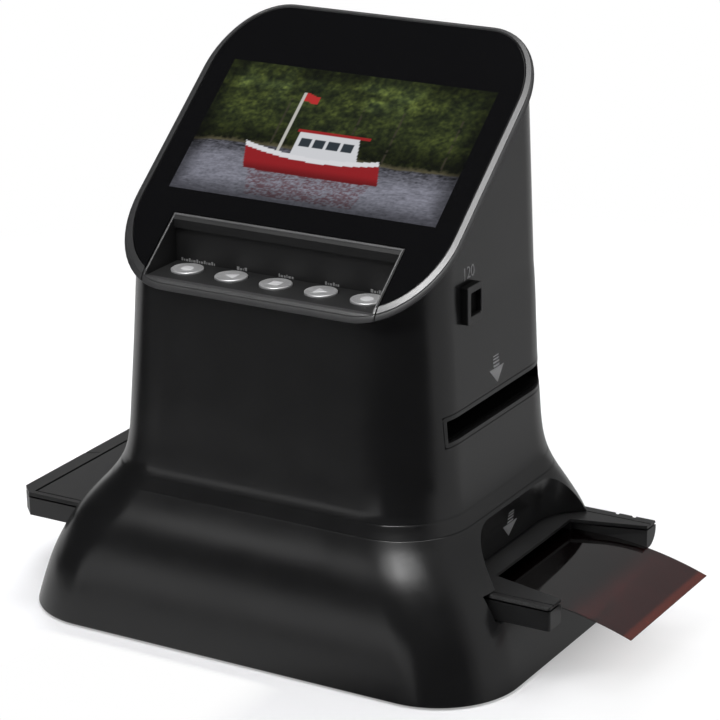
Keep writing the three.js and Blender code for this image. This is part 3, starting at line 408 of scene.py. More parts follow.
def settle(piece):
    """Replaces the piece's mesh by what its modifiers make of it."""
    graph = bpy.context.evaluated_depsgraph_get()
    mesh = bpy.data.meshes.new_from_object(piece.evaluated_get(graph))
    piece.modifiers.clear()
    piece.data = mesh


def combine(piece, *tools, how="DIFFERENCE"):
    """Cuts the tools out of the piece, or joins or intersects them with it."""
    for tool in tools:
        change = piece.modifiers.new("shape", "BOOLEAN")
        change.operation, change.object, change.solver = how, tool, "EXACT"
        settle(piece)
        bpy.data.objects.remove(tool)
    tidy_mesh(piece.data)
    return piece


def bevel(piece, width, segments, angle):
    """Rounds the edges that are sharper than an angle, as a modifier."""
    change = piece.modifiers.new("edges", "BEVEL")
    change.width, change.segments = width / 1000, segments
    change.limit_method, change.angle_limit = "ANGLE", math.radians(angle)
    change.use_clamp_overlap = True


def soften(piece, width, segments, angle):
    """Rounds the piece's sharp edges for good."""
    bevel(piece, width, segments, angle)
    settle(piece)


def fit(piece, finish, body, slot, *stands_for, angle=32, weighted=True):
    """The piece's one finish with smooth shading up to an angle, the body that it rides on, its
    slot, which is not used, and the solids that it stands for."""
    piece.data.materials.clear()
    piece.data.materials.append(finish)
    piece.data.shade_smooth()
    piece.data.set_sharp_from_angle(angle=math.radians(angle))
    if weighted:
        piece.modifiers.new("flat_faces", "WEIGHTED_NORMAL").keep_sharp = True
    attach(piece, body)
    if stands_for:
        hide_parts(*stands_for)


def new_finish(name):
    """A new material, its node tree, and the places on a piece that wears it."""
    finish = bpy.data.materials.new(name)
    finish.use_nodes = True
    tree = finish.node_tree
    return finish, tree, node(tree, "ShaderNodeTexCoord").outputs["Object"]


def surface(tree, values):
    plug(tree, tree.nodes["Principled BSDF"].inputs, values)


def noise(tree, place, scale, detail, roughness=0.5):
    links = {"Vector": place, "Scale": scale, "Detail": detail, "Roughness": roughness}
    return node(tree, "ShaderNodeTexNoise", links).outputs[0]


def tinted(tree, share, first, second):
    """A colour between two, each of them a socket or red, green and blue."""
    first, second = (c if isinstance(c, bpy.types.NodeSocket) else (*c, 1) for c in (first, second))
    links = {"Factor": share, "A": first, "B": second}
    return node(tree, "ShaderNodeMix", links, data_type="RGBA").outputs["Result"]


def glossed(tree, pattern, low, high, start=0.3, stop=0.7):
    """Roughness that goes from low to high as the pattern goes from its start to its stop."""
    return node(tree, "ShaderNodeMapRange", {0: pattern, 1: start, 2: stop, 3: low, 4: high}).outputs[0]


def grained(tree, pattern, depth, strength=1.0):
    """A fine relief of the pattern, with its depth in millimetres."""
    links = {"Strength": strength, "Distance": depth / 1000, "Height": pattern}
    return node(tree, "ShaderNodeBump", links).outputs[0]


cloud_size = 14


def moulded(name, colour, roughness, grain=0.35, depth=0.012, cloud=0.12, shine=0.5):
    """Moulded plastic: a fine etched grain, and colour and gloss that vary a little."""
    finish, tree, place = new_finish(name)
    fine = noise(tree, place, 1000 / grain, 3, 0.6)
    wide = noise(tree, place, 1000 / cloud_size, 4, 0.55)
    both = maths(tree, "ADD", times(tree, fine, 0.45), times(tree, wide, 0.55))
    dark, light = ([c * (1 + change) for c in colour] for change in (-cloud, cloud))
    surface(tree, {
        "Base Color": tinted(tree, both, dark, light),
        "Roughness": glossed(tree, both, roughness - 0.05, roughness + 0.05),
        "Normal": grained(tree, fine, depth),
        "Specular IOR Level": shine,
    })
    return finish


satin_black = moulded("satin_black", (0.0088, 0.0088, 0.0091), 0.22, grain=0.4, depth=0.0018)


def body_profile(low, high, low_edge, high_edge, groove=None):
    """Heights and growths of the body's outer face between two heights, with rounded edges."""
    edge = [(0, 1), (0.13, 0.5), (0.5, 0.13), (1, 0)]
    rings = [(low + rise * low_edge, -back * low_edge) for rise, back in edge]
    top = [(high - drop * high_edge, -back * high_edge) for drop, back in reversed(edge)]
    height = low + low_edge + fine_step
    while height < high - high_edge - fine_step / 2:
        rings.append((height, 0))
        height += fine_step if height < coarse_from else 6 * fine_step
    if groove:
        place, width, depth = groove
        rings = [r for r in rings if abs(r[0] - place) > width * 1.4]
        rings += [(place - width, 0), (place + width, 0)]
        rings += [(place + side * width, -depth) for side in (-0.5, 0.5)]
        rings.sort()
    return rings + top


def body_shell(name, outside, low, high):
    """The body's wall: its outer face, and its inner face 2.4 mm behind it."""
    rings = [body_ring(z, grow) for z, grow in outside]
    rings += [body_ring(z, -wall) for z in np.linspace(high, low, inner_levels)]
    return loft(name, rings, tube=True)


def pocket(grow):
    """The scoop over the tray's right end, whose wall leans out as it rises."""
    rings = []
    for z in np.linspace(tunnel_high - pocket_start, seam_height + 6, 3):
        inner = pocket_x + pocket_draft_share * (z - tunnel_high) - grow
        rings.append(round_ring(
            inner, inner + far_out, pocket_front - grow, pocket_back + grow, pocket_corner + grow, z,
        ))
    return loft("tool", rings)


def solid_body(low, high, grow, step=1.4):
    heights = np.linspace(low, high, max(2, int((high - low) / step)))
    return loft("tool", [body_ring(z, grow) for z in heights])


seam_gap, seam_edge = 0.1, 0.14
base_top = seam_height - seam_gap / 2
base_outside = body_profile(base_bottom, base_top, 0.4, seam_edge)
base = body_shell("base_shell_fine", base_outside, base_bottom, base_top)
boss = combine(pocket(wall), solid_body(base_bottom + 1, base_top, -0.05), how="INTERSECT")
combine(base, boss, how="UNION")
combine(
    base, pocket(0),
    block(-far_out, far_out, tray_front - slide_gap, tray_back + slide_gap, tunnel_low, tunnel_high),
    block(pocket_x, far_out, tray_front - tunnel_front_room, tray_front + 1, tunnel_low, tunnel_high),
    block(sag_x, far_out, *around(tray_y, sag_half), tunnel_low - sag_depth, tunnel_high - 0.1),
)
fit(base, satin_black, "housing", "body_black", "base_shell")


# Feet: four round rubber pads stuck under the bottom plate, each with a rounded edge and a
# shallow dish in its face.
foot_radius, foot_top = 7, 1.3
foot_profile = [
    (0, 0.25), (4.6, 0.25), (5.0, 0.05), (5.2, 0), (6.5, 0), (6.85, 0.12), (foot_radius, 0.45),
    (foot_radius, foot_top), (0, foot_top),
]


def turned(name, profile, x, y, segments=64):
    """A turned piece about an upright axis. The profile starts and ends on the axis."""
    points, faces = [(x, y, profile[0][1]), (x, y, profile[-1][1])], []
    for radius, z in profile[1:-1]:
        for i in range(segments):
            angle = 2 * math.pi * i / segments
            points.append((x + radius * math.cos(angle), y + radius * math.sin(angle), z))
    rows = len(profile) - 2
    for i in range(segments):
        k = (i + 1) % segments
        faces.append((0, 2 + i, 2 + k))
        for row in range(rows - 1):
            a, b = 2 + row * segments, 2 + (row + 1) * segments
            faces.append((a + i, b + i, b + k, a + k))
        last = 2 + (rows - 1) * segments
        faces.append((last + i, 1, last + k))
    return make(name, points, faces)


def own_box(name):
    """The lowest and the highest corner of a solid in the scanner's own millimetres."""
    return [np.array(corner) * 1000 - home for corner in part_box(name)]


rubber = moulded("foot_rubber", (0.011, 0.011, 0.011), 0.82, grain=0.6, depth=0.03, shine=0.3)
for i in range(1, 5):
    x, y, _ = sum(own_box(f"foot_{i}")) / 2
    foot = turned(f"foot_{i}_fine", foot_profile, x, y, 48)
    fit(foot, rubber, "housing", "foot_rubber", f"foot_{i}", weighted=False)


# Bottom plate, tray deck, cover, selector parts and lens barrel: plain black mouldings out of
# sight inside the shell, with a coarser, duller grain.
inner_black = moulded("inner_black", (0.016, 0.016, 0.0165), 0.6, grain=0.8, depth=0.03)


def keep(names, finish, edge=0.0):
    """Solids that keep their own mesh, with a finish and, where it shows, a softened edge."""
    for name in names:
        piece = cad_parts[name]
        piece.data.materials.clear()
        piece.data.materials.append(finish)
        if edge:
            bevel(piece, edge, 2, 50)


keep(["bottom_plate"], inner_black, 0.25)
keep(["tray_deck", "tray_cover", "selector_clip", "selector_housing", "lens_barrel"], inner_black)


# Tower shell: a second moulding of the same satin black ABS, with a fine witness groove above the
# seam, a lip that drops into the base, and cuts for the head, the film guide, the selector and
# the two sockets at the back.
face_height, face_chin = 170.8, 6.55
face_angle = math.radians(38.8)
lcd_height = 63
rim_thickness, rim_width = 2.2, 3.2
well_half, well_depth, well_back_height, well_floor_thickness = 46.8, 19.3, 17.1, 2.1
well_back = well_depth - tower_front
face_y = well_back + face_chin + lcd_height / 2 * math.cos(face_angle)
guide_low, guide_high, guide_front, guide_back, guide_border = 80.5, 87.4, -35.4, 37, 1.9
witness_groove = (54.9, 0.22, 0.13)
lip_drop, lip_thickness = 4, 1.6
selector_slot = (-20.7, -16.1, 120.9, 129.5)
inside_back_wall, far_along, lip_root = 30, 220, 0.4


def face_z(y, depth=0.0):
    """Height of the sloping face over a place, or of a level under it, square to the face."""
    return face_height + (y - face_y) * math.tan(face_angle) + depth / math.cos(face_angle)


well_floor = face_z(well_back) - well_back_height
well_bottom = well_floor - well_floor_thickness


def slope_slab(low, high):
    """Everything between two depths under the sloping face."""
    cos, sin = math.cos(face_angle), math.sin(face_angle)
    outline = []
    for along, depth in [(-far_along, low), (far_along, low), (far_along, high), (-far_along, high)]:
        outline.append((face_y + along * cos - depth * sin, face_height + along * sin + depth * cos))
    return prism("tool", outline, 0, -far_out, far_out)


tower_bottom = seam_height + seam_gap / 2
tower_top = face_z(tower_back) + 2
tower_outside = body_profile(tower_bottom, tower_top, seam_edge, 0.35, witness_groove)
tower = body_shell("tower_shell_fine", tower_outside, tower_bottom, tower_top)
lip_low, lip_high = seam_height - lip_drop, seam_height + lip_drop
lip_outside, lip_inside = -wall - gap, -wall - gap - lip_thickness
lip = loft("tool", [
    body_ring(lip_low, lip_outside), body_ring(lip_high, -wall + lip_root),
    body_ring(lip_high, lip_inside), body_ring(lip_low, lip_inside),
], tube=True)
combine(lip, block(pocket_x - wall - gap, far_out, -far_out, far_out, 0, seam_height + 0.2))
combine(tower, lip, how="UNION")
guide_room = guide_border + gap
combine(
    tower, slope_slab(-rim_thickness - gap, far_up),
    block(*around(0, well_half + gap), -far_out, well_back + wall, well_bottom - gap, far_up),
    block(
        -far_out, far_out, guide_front - guide_room, guide_back + guide_room,
        guide_low - guide_room, guide_high + guide_room,
    ),
    block(0, far_out, *selector_slot),
)
for name in ("usb_socket", "card_socket"):
    low, high = own_box(name)
    combine(tower, block(
        low[0] - gap, high[0] + gap, inside_back_wall, far_out, low[2] - gap, high[2] + gap,
    ))
fit(tower, satin_black, "housing", "body_black", "tower_shell")


# Upper film guide: the slot for small film is a moulded frame right through the tower, flush
# with both side walls, with a gate for the camera in its middle.
slab_low, slab_high = 70, 98
gate_half_x, gate_half_y = 21, 17
guide_y = (guide_front + guide_back) / 2


def guide_bar(name, grow, radius, reach=far_out):
    """A bar as wide and high as the slot and its growth, that reaches so far to both sides."""
    outline = rounded(
        guide_front - grow, guide_back + grow, guide_low - grow, guide_high + grow, radius, steps=4,
    )
    return prism(name, outline, 0, -reach, reach)


def camera_gate():
    return block(*around(0, gate_half_x), *around(guide_y, gate_half_y), slab_low, slab_high + 2)


guide = guide_bar("upper_film_guide_fine", guide_border, 0.8)
combine(guide, solid_body(slab_low, slab_high, 0, 1.0), how="INTERSECT")
combine(guide, guide_bar("tool", 0.45, 0.5))
combine(guide, camera_gate())
soften(guide, 0.35, 2, 50)
fit(guide, satin_black, "housing", "body_black", "upper_film_guide")

# Inside the slot a thin near-black matt sleeve lines the opening: painted shade for the dark inside of the
# slot.
slot_shade_sheet = guide_bar("upper_film_guide_shade_sheet", 0.43, 0.5, tower_half_width - 0.6)
combine(slot_shade_sheet, guide_bar("tool", 0.1, 0.5))
combine(slot_shade_sheet, camera_gate())
combine(slot_shade_sheet, solid_body(slab_low, slab_high, -0.7, 1.0), how="INTERSECT")
slot_painted_shade = moulded("slot_painted_shade", (0.003, 0.003, 0.003), 0.85, grain=0.5, depth=0.02, shine=0.1)
fit(slot_shade_sheet, slot_painted_shade, "housing", "body_black")


# Screen frame: a dark grey moulding that caps the tower. Its rim stands 2.2 mm high round the
# window, rounded outside and inside, and is open over the button well.
overhang_side, overhang_front, overhang_back = 3.6, 3.7, 2.5
overhang_corner, overhang_back_corner = 3.8, 5.4
pane_sunk, pane_thickness, well_rim = 0.3, 1.5, 0.9
inset_front, inset_back, inset_corner, inset_back_corner = 0.75, 0.62, 0.85, 0.8
rim_grey = moulded("frame_black", (0.036, 0.036, 0.037), 0.36, grain=0.3, depth=0.004)


def face_ring(inset, depth):
    """The outline of the rim, shrunk by an inset, at a depth under the face."""
    half, front, _, corner, back_corner = body_at(face_height)
    back = body_at(face_z(tower_back))[2]
    side = half + overhang_side - inset
    return round_ring(
        -side, side,
        front - overhang_front + inset_front * inset, back + overhang_back - inset_back * inset,
        corner + overhang_corner - inset_corner * inset, lambda x, y: face_z(y, depth),
        back_corner + overhang_back_corner - inset_back_corner * inset,
    )


def face_rings(profile):
    return [face_ring(inset, depth) for inset, depth in profile]


def well_notch(grow):
    return block(*around(0, well_half + grow), -far_out, well_back + well_rim + grow, 0, far_up)


pane_low = -pane_sunk - pane_thickness
rim_outside = [
    (1.0, -2.2), (0.45, -2.12), (0.12, -1.97), (0, -1.76), (0.04, -1.55), (0.2, -1.3), (0.45, -1.06),
    (0.72, -0.86), (0.86, -0.78), (0.92, -0.9), (1.04, -0.9), (1.08, -0.62), (1.15, -0.56), (1.3, -0.51),
    (1.8, -0.37), (2.4, -0.2), (2.8, -0.08), (3.0, -0.03),
]
rim_profile = rim_outside + [
    (3.1, -0.04), (3.17, -0.13), (rim_width, -0.3), (rim_width, pane_low - 0.3), (9, pane_low - 0.3),
    (9, pane_low - 3.5), (5.8, pane_low - 3.5), (5.8, -2.2),
]
rim = loft("screen_frame", face_rings(rim_profile), tube=True)
combine(rim, well_notch(gap))
fit(rim, rim_grey, "housing", "frame_black", "bezel_frame")


# Window: one sheet of black-backed acrylic over the display, cut out round the button well, with
# a polished face and a fine chamfer.
window_shine = 0.22


def polish(tree, place):
    """The roughness of a polished sheet, with a faint haze."""
    return glossed(tree, noise(tree, place, 35, 2), 0.07, 0.12)


gloss_black, tree, place = new_finish("window_gloss")
dust = noise(tree, place, 900, 5, 0.7)
surface(tree, {
    "Base Color": tinted(tree, dust, (0.0035, 0.0035, 0.004), (0.006, 0.006, 0.0065)),
    "Roughness": polish(tree, place),
    "Specular IOR Level": window_shine,
})

pane_edge = rim_width + gap
window = loft("screen_window_fine", face_rings([
    (pane_edge, pane_low), (pane_edge, -pane_sunk - 0.25), (pane_edge + 0.08, -pane_sunk - 0.07),
    (pane_edge + 0.25, -pane_sunk),
]))
combine(window, well_notch(gap))
fit(window, gloss_black, "housing", "window_black", "screen_window")


# Picture on the display: 108 mm wide, a quiet lake with a wooded bank and a small red and white
# boat. It is drawn point by point in colours on a fine grid, and glows.
picture_width, picture_height = 108, 57.9
picture_cell, picture_proud = 0.4, 0.03


def hashed(ix, iy, seed):
    """An even spread of numbers from 0 to 1, the same for the same place and seed."""
    value = np.sin(ix * 127.1 + iy * 311.7 + seed * 74.7) * 43758.5453
    return value - np.floor(value)


def value_noise(x, y, seed):
    """Smooth noise from 0 to 1 with one bump per unit."""
    ix, iy = np.floor(x), np.floor(y)
    tx, ty = smooth_step(x - ix, 0, 1), smooth_step(y - iy, 0, 1)
    low = hashed(ix, iy, seed) * (1 - tx) + hashed(ix + 1, iy, seed) * tx
    high = hashed(ix, iy + 1, seed) * (1 - tx) + hashed(ix + 1, iy + 1, seed) * tx
    return low * (1 - ty) + high * ty


def layered(x, y, seed, layers=4):
    total, weight = 0, 0
    for i in range(layers):
        total = total + value_noise(x * 2 ** i, y * 2 ** i, seed + i) / 1.6 ** i
        weight += 1 / 1.6 ** i
    return total / weight


def paint(x, y):
    """The picture's colour at places in millimetres from its lower left corner."""
    def blend(under, colour, cover):
        cover = np.clip(cover, 0, 1)[:, None]
        return under * (1 - cover) + np.array(colour)[None, :] * cover

    leaves = layered(x / 5, y / 4, 3)
    fine = layered(x / 1.3, y / 1.1, 9)
    colour = np.stack([0.008 + 0.13 * (leaves * fine) ** 1.6 * 3, 0.012 + 0.16 * (leaves * fine) ** 1.5 * 3,
                       0.006 + 0.03 * leaves * fine], axis=1)
    sunny = smooth_step(layered(x / 17 + 3, y / 11, 21), 0.5, 0.72) * smooth_step(y, 34, 50)
    colour = colour * (0.62 + 1.1 * sunny)[:, None]
    colour = colour * 0.8 + colour.mean(axis=1)[:, None] * 0.2
    dusk = smooth_step(y, 36, 24) * 0.75
    colour = colour * (1 - dusk)[:, None]
    trunks = (hashed(np.floor(x / 2.3), 0, 5) > 0.8) * (np.abs((x / 2.3) % 1 - 0.5) < 0.16)
    trunks = trunks * (y < 44) * (y > 22)
    colour = blend(colour, (0.055, 0.045, 0.035), trunks * 0.55 * (fine > 0.42))
    bank = 21.5 + 1.5 * layered(x / 12, 0 * x, 31) + 1.2 * np.sin(x / 19)
    reeds = smooth_step(y, bank + 3.2 * fine, bank - 0.4)
    colour = blend(colour, (0.12, 0.105, 0.06), reeds * 0.8 * (y > bank - 1))
    water = smooth_step(y, bank, bank - 0.8)
    ripple = layered(x / 3.5, y / 0.55, 41)
    glint = layered(x / 1.1, y / 0.3, 51)
    shore_dark = smooth_step(y, bank - 9, bank)
    grey = np.clip(0.13 + 0.17 * ripple + 0.22 * (glint - 0.45) - 0.16 * shore_dark, 0.02, 0.6)
    colour = colour * (1 - water)[:, None] + np.outer(grey * water, (0.92, 0.93, 1.12))

    # The boat: a red hull with a white band, and a white cabin with dark windows
    bx, by = (x - 52) / 1.4, (y - 13.5) / 1.3
    keel = -0.2 - 0.9 * np.sqrt(np.clip(1 - (bx / 23) ** 2, 0, 1))
    deck = 5.2 + 2.6 * (bx / 21) ** 2
    hull = (by > keel) * (by < deck) * (np.abs(bx + 0.32 * by) < 19.5)
    cabin = (bx > -8) * (bx < 12.5 - 0.25 * by) * (by >= deck) * (by < 13)
    pane = cabin * (by > 8.4) * (by < 11.2) * (((bx + 8) % 4.1) > 0.9) * (bx < 9.2) * (bx > -7.4)
    roof = (bx > -9) * (bx < 12) * (by >= 13) * (by < 14.1)
    mast = (np.abs(bx + 12) < 0.35) * (by > deck) * (by < 26)
    flag = (bx > -11.7) * (bx < -7.4) * (np.abs(by - 24.2 - 0.4 * np.sin(bx)) < 1.3)
    mirrored = (by < keel) * (by > -9) * (np.abs(bx) < 18 + 0.3 * by) * smooth_step(glint, 0.62, 0.38)
    for over, cover in [
        ((0.3, 0.014, 0.018), hull), ((0.1, 0.006, 0.008), hull * smooth_step(by, 2.2, -1) * 0.8),
        ((0.75, 0.75, 0.78), hull * (by > deck - 1.5)), ((0.68, 0.69, 0.72), cabin),
        ((0.03, 0.04, 0.05), pane), ((0.34, 0.018, 0.02), roof), ((0.55, 0.54, 0.5), mast),
        ((0.5, 0.03, 0.03), flag), ((0.12, 0.02, 0.025), mirrored * 0.6),
    ]:
        colour = blend(colour, over, cover)
    edge = np.minimum(np.minimum(x, picture_width - x), np.minimum(y, picture_height - y))
    return colour * (0.25 + 0.6 * smooth_step(edge, 0, 9))[:, None]


columns, rows = round(picture_width / picture_cell), round(picture_height / picture_cell)
grid_x, grid_y = (grid.ravel() for grid in np.meshgrid(
    np.linspace(0, picture_width, columns + 1), np.linspace(0, picture_height, rows + 1),
))
along = grid_y - picture_height / 2
lift = picture_proud - pane_sunk
points = np.stack([
    grid_x - picture_width / 2,
    face_y + along * math.cos(face_angle) - lift * math.sin(face_angle),
    face_height + along * math.sin(face_angle) + lift * math.cos(face_angle),
], axis=1)
faces = [
    (a, a + 1, a + columns + 2, a + columns + 1)
    for row in range(rows) for a in range(row * (columns + 1), row * (columns + 1) + columns)
]
picture = make("display_picture", points, faces, 0)
colours = picture.data.color_attributes.new("picture", "FLOAT_COLOR", "POINT")
painted = np.ones((len(points), 4), np.float32)
painted[:, :3] = paint(grid_x, grid_y)
colours.data.foreach_set("color", painted.ravel())
glass_picture, tree, place = new_finish("lit_display")
surface(tree, {
    "Emission Color": node(tree, "ShaderNodeVertexColor", layer_name="picture").outputs["Color"],
    "Emission Strength": 1.0,
    "Base Color": (0.004, 0.004, 0.004, 1),
    "Roughness": polish(tree, place),
    "Specular IOR Level": window_shine,
})
picture.data.materials.append(glass_picture)
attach(picture, "housing")


# Button well: a black tub let into the front of the head. Its back wall has a small step near the
# top and its floor a round hole for each button. A thin strip of lighter grey round its mouth is a
# painted highlight on its edge, and the rim of the frame closes its front.
step_depth, step_height = 1.2, 4.6
highlight_width, highlight_sunk = 0.5, 0.4
button_count, button_radius, button_end_room, button_back_room = 5, 5.85, 4.55, 7.4
button_pitch = 2 * (well_half - button_end_room - button_radius) / (button_count - 1)
button_places = [(i - (button_count - 1) / 2) * button_pitch for i in range(button_count)]
button_y = well_back - button_back_room
well_black = moulded("well_black", (0.0085, 0.0085, 0.0088), 0.5, grain=0.3, depth=0.006, shine=0.3)

half = well_half - gap / 2
inner_half = half - well_rim
front_at_floor = body_at(well_bottom)[1] + gap
highlight_front, lip_back = -52.5, -40
hole_low, hole_high = 100, 140


def well_room(grow=0.0, step=True):
    """The room in the well, wider by the growth on both sides and at the back."""
    room = block(*around(0, inner_half + grow), -far_out, well_back + grow, well_floor, far_up)
    if step:
        shelf_low = face_z(well_back) - step_height
        combine(room, block(-far_out, far_out, well_back - step_depth, far_out, shelf_low, far_up))
    return room


def under_face(depth):
    return loft("tool", face_rings([(0, -60), (0, depth)]))


tub = block(-half, half, front_at_floor, well_back + well_rim, well_bottom, far_up)
combine(tub, under_face(-highlight_sunk), how="INTERSECT")
combine(tub, well_room())
hole_radius = button_radius + gap
for x in button_places:
    combine(tub, turned("tool", [
        (0, hole_low), (hole_radius, hole_low), (hole_radius, hole_high), (0, hole_high),
    ], x, button_y))
tub.name = "button_well_fine"
soften(tub, 0.15, 2, 40)
fit(tub, well_black, "housing", "frame_black", "button_well")

# A strip of lighter grey round the well's mouth: a painted highlight along its edge.
edge_highlight = combine(well_room(highlight_width, step=False), under_face(-0.08), how="INTERSECT")
combine(edge_highlight, well_room(step=False), slope_slab(-200, -highlight_sunk + 0.02))
combine(edge_highlight, block(-far_out, far_out, -far_out, highlight_front, 0, far_up))
edge_highlight.name = "well_edge_highlight"
soften(edge_highlight, 0.14, 2, 40)
highlight_grey = moulded("highlight_grey", (0.085, 0.085, 0.086), 0.4, grain=0.25, depth=0.003)
fit(edge_highlight, highlight_grey, "housing", "frame_black")

front_lip = loft("tool", face_rings(rim_outside))
combine(front_lip, block(-half, half, -far_out, front_at_floor - 0.05, 0, far_up), how="INTERSECT")
combine(front_lip, block(-inner_half, inner_half, -far_out, lip_back, well_floor, far_up))
front_lip.name = "well_lip"
soften(front_lip, 0.15, 2, 50)
fit(front_lip, rim_grey, "housing", "frame_black")


# Buttons: five round keys in silver-lacquered ABS, with a slightly dished face and a bright rounded
# edge. Each stands in its hole on a flange and a stem, and bears a sign.
silver, tree, place = new_finish("button_silver")
flake = node(tree, "ShaderNodeTexVoronoi", {"Vector": place, "Scale": 5000.0}).outputs["Distance"]
surface(tree, {
    "Base Color": tinted(tree, flake, (0.36, 0.36, 0.365), (0.5, 0.5, 0.505)),
    "Roughness": glossed(tree, noise(tree, place, 260, 3), 0.3, 0.42),
    "Normal": grained(tree, flake, 0.004),
    "Metallic": 0.45,
})

button_proud, flange, flange_thickness = 0.6, 0.6, 1
stem_radius, stem_length = 1.8, 1.2
edge_round, dish = 0.42, 0.12
circle = arc(0, 0, 2.3, 2.3, 0, 2, 28)[:-1]
arrow_left, arrow_right = [
    [(side * 2.4, 0), (-side * 2, side * 2.5), (-side * 2, -side * 2.5)] for side in (-1, 1)
]
square = [(-2, -2), (2, -2), (2, 2), (-2, 2)]
bright_silver = moulded("bright_silver", (0.6, 0.6, 0.61), 0.3, grain=0.2, depth=0.003, cloud=0.06)
shoulder = well_floor + button_proud
flange_top = well_bottom - gap
flange_low = flange_top - flange_thickness
profile = [
    (0, flange_low - stem_length), (stem_radius, flange_low - stem_length), (stem_radius, flange_low),
    (button_radius + flange, flange_low), (button_radius + flange, flange_top), (button_radius, flange_top),
    (button_radius, shoulder - edge_round),
]
profile += arc(
    button_radius - edge_round, shoulder - edge_round, edge_round, edge_round, 0.2 / math.pi, 0.5, 5,
)
profile += [
    (button_radius - 0.85, shoulder + 0.02), (button_radius - 1.1, shoulder - 0.1),
    (button_radius - 1.4, shoulder - dish), (1, shoulder - dish), (0, shoulder - dish),
]
for i, (x, shape) in enumerate(zip(button_places, [circle, arrow_left, square, arrow_right, circle]), 1):
    key = turned(f"button_{i}_fine", profile, x, button_y)
    fit(key, silver, f"button_{i}", "button_silver", f"button_{i}", weighted=False)
    outline = [(x + a, button_y + b) for a, b in shape]
    sign = prism(f"button_{i}_sign", outline, 2, shoulder - 0.2, shoulder - 0.04)
    soften(sign, 0.05, 1, 50)
    fit(sign, bright_silver, f"button_{i}", "button_silver")


# Selector knob: a small frame-shaped slider in dark grey on the right wall, hollowed for a
# fingertip, on a stem through the wall. Its sides and the floor of its hollow are painted shade.
knob_low, knob_high = own_box("selector_knob")
knob_tall = 13.3
knob_y = (knob_low[1] + knob_high[1]) / 2
knob_z = knob_low[2] + knob_tall / 2
plinth_deep, plate_thick, hollow_depth = 2.7, 0.45, 2.0
knob_front = min(knob_high[0], body_at(knob_z)[0] + plinth_deep - 0.05)
plate_y, plate_up, plate_half, plate_half_tall = 0.75, 0.4, 5.05, 6.8
hollow_y, hollow_up, hollow_half, hollow_half_tall = plate_y + 0.75, 0.5, 3.65, 4.25
stem_half, stem_low, stem_high = 2, 0.6, 4.6
knob_grey = moulded("knob_black", (0.02, 0.02, 0.0205), 0.42, grain=0.3, depth=0.008)
# Near black and matt: painted shade on the knob's sides and the floor of its hollow.
knob_painted_shade = moulded("knob_painted_shade", (0.004, 0.004, 0.004), 0.8, grain=0.5, depth=0.02, shine=0.12)


def knob_block(name, half_width, half_tall, radius, right, up, low, high):
    """A rounded block on the wall, so far right of and above the knob's middle."""
    y, z = knob_y + right, knob_z + up
    outline = rounded(*around(y, half_width), *around(z, half_tall), radius, steps=6)
    return prism(name, outline, 0, low, high)


def knob_hollow(depth):
    return knob_block(
        "tool", hollow_half, hollow_half_tall, 0.5, hollow_y, hollow_up, knob_front - depth, knob_front + 5,
    )


plate = knob_block(
    "selector_knob_fine", plate_half, plate_half_tall, 0.8, plate_y, plate_up,
    knob_front - plate_thick, knob_front,
)
combine(plate, knob_hollow(5))
soften(plate, 0.16, 3, 40)
fit(plate, knob_grey, "selector", "knob_black", "selector_knob")

# The plinth behind the plate wears the painted shade, seen on its sides and in its hollow.
plinth = knob_block(
    "selector_knob_shaded_core", plate_half - 0.08, plate_half_tall - 0.08, 0.7, plate_y, plate_up,
    knob_front - plinth_deep, knob_front - plate_thick + 0.02,
)
combine(plinth, knob_hollow(hollow_depth))
stem_end = knob_front - plinth_deep + 0.3
stem = block(knob_low[0], stem_end, *around(knob_y, stem_half), knob_z + stem_low, knob_z + stem_high)
combine(plinth, stem, how="UNION")
fit(plinth, knob_painted_shade, "selector", "knob_black")


# Film tray: the carrier for roll film, a lower frame moulded in black ABS with two arms at its
# right end. It slides through the tunnel and is open under the film's gate.
tray_left, tray_right, arm_root = -114, 108, 79.2
arm_root_half, arm_end_half, arm_end_radius = 28.6, 35.6, 1.2
back_arm_short, tray_chamfer = 1.6, 5.5
back_round_over, back_round_under, back_widest = 2, 6.4, 2.6
lid_thickness, lid_groove = 1.2, 0.4
film_width, film_lift, film_thickness = 61.5, 4.1, 0.2
film_bottom = tray_bottom + film_lift
film_half = film_width / 2 + gap
channel_start = -106
gate_half_length, gate_half_width = 42, 27.6
tray_black = moulded("tray_black", (0.0125, 0.0125, 0.0128), 0.34, grain=0.5, depth=0.04, cloud=0.25)


def tray_plate(name, low, high):
    """The tray from above between two heights, square in front and rounded off at the back."""
    back_right = tray_right - back_arm_short
    outline = [(tray_left + tray_chamfer, tray_front)]
    outline += arc(
        tray_right - arm_end_radius, tray_front + arm_end_radius, arm_end_radius, arm_end_radius, -0.5, 0,
    )
    outline += [
        (tray_right, tray_y - arm_end_half), (arm_root, tray_y - arm_root_half),
        (arm_root, tray_y + arm_root_half), (back_right, tray_y + arm_end_half), (back_right, tray_back),
        (tray_left + tray_chamfer, tray_back), (tray_left, tray_back - tray_chamfer),
        (tray_left, tray_front + tray_chamfer),
    ]
    plate = prism(name, outline, 2, low, high)
    top, bottom = tray_top + gap, tray_bottom - gap
    widest = tray_top - back_widest
    section = [(tray_front - 6, top), (tray_front - 6, bottom)]
    section += arc(tray_back - back_round_under, widest, back_round_under, widest - bottom, -0.5, 0)
    section += arc(tray_back - back_round_over, widest, back_round_over, top - widest, 0, 0.5)
    combine(plate, prism("tool", section, 0, tray_left - 6, tray_right + 6), how="INTERSECT")
    return plate


def tray_gate(low, high):
    return block(*around(0, gate_half_length), *around(tray_y, gate_half_width), low, high)


pin_boxes = [own_box(f"tray_hinge_pin_{i}") for i in (1, 2)]
pin_room = 0.75


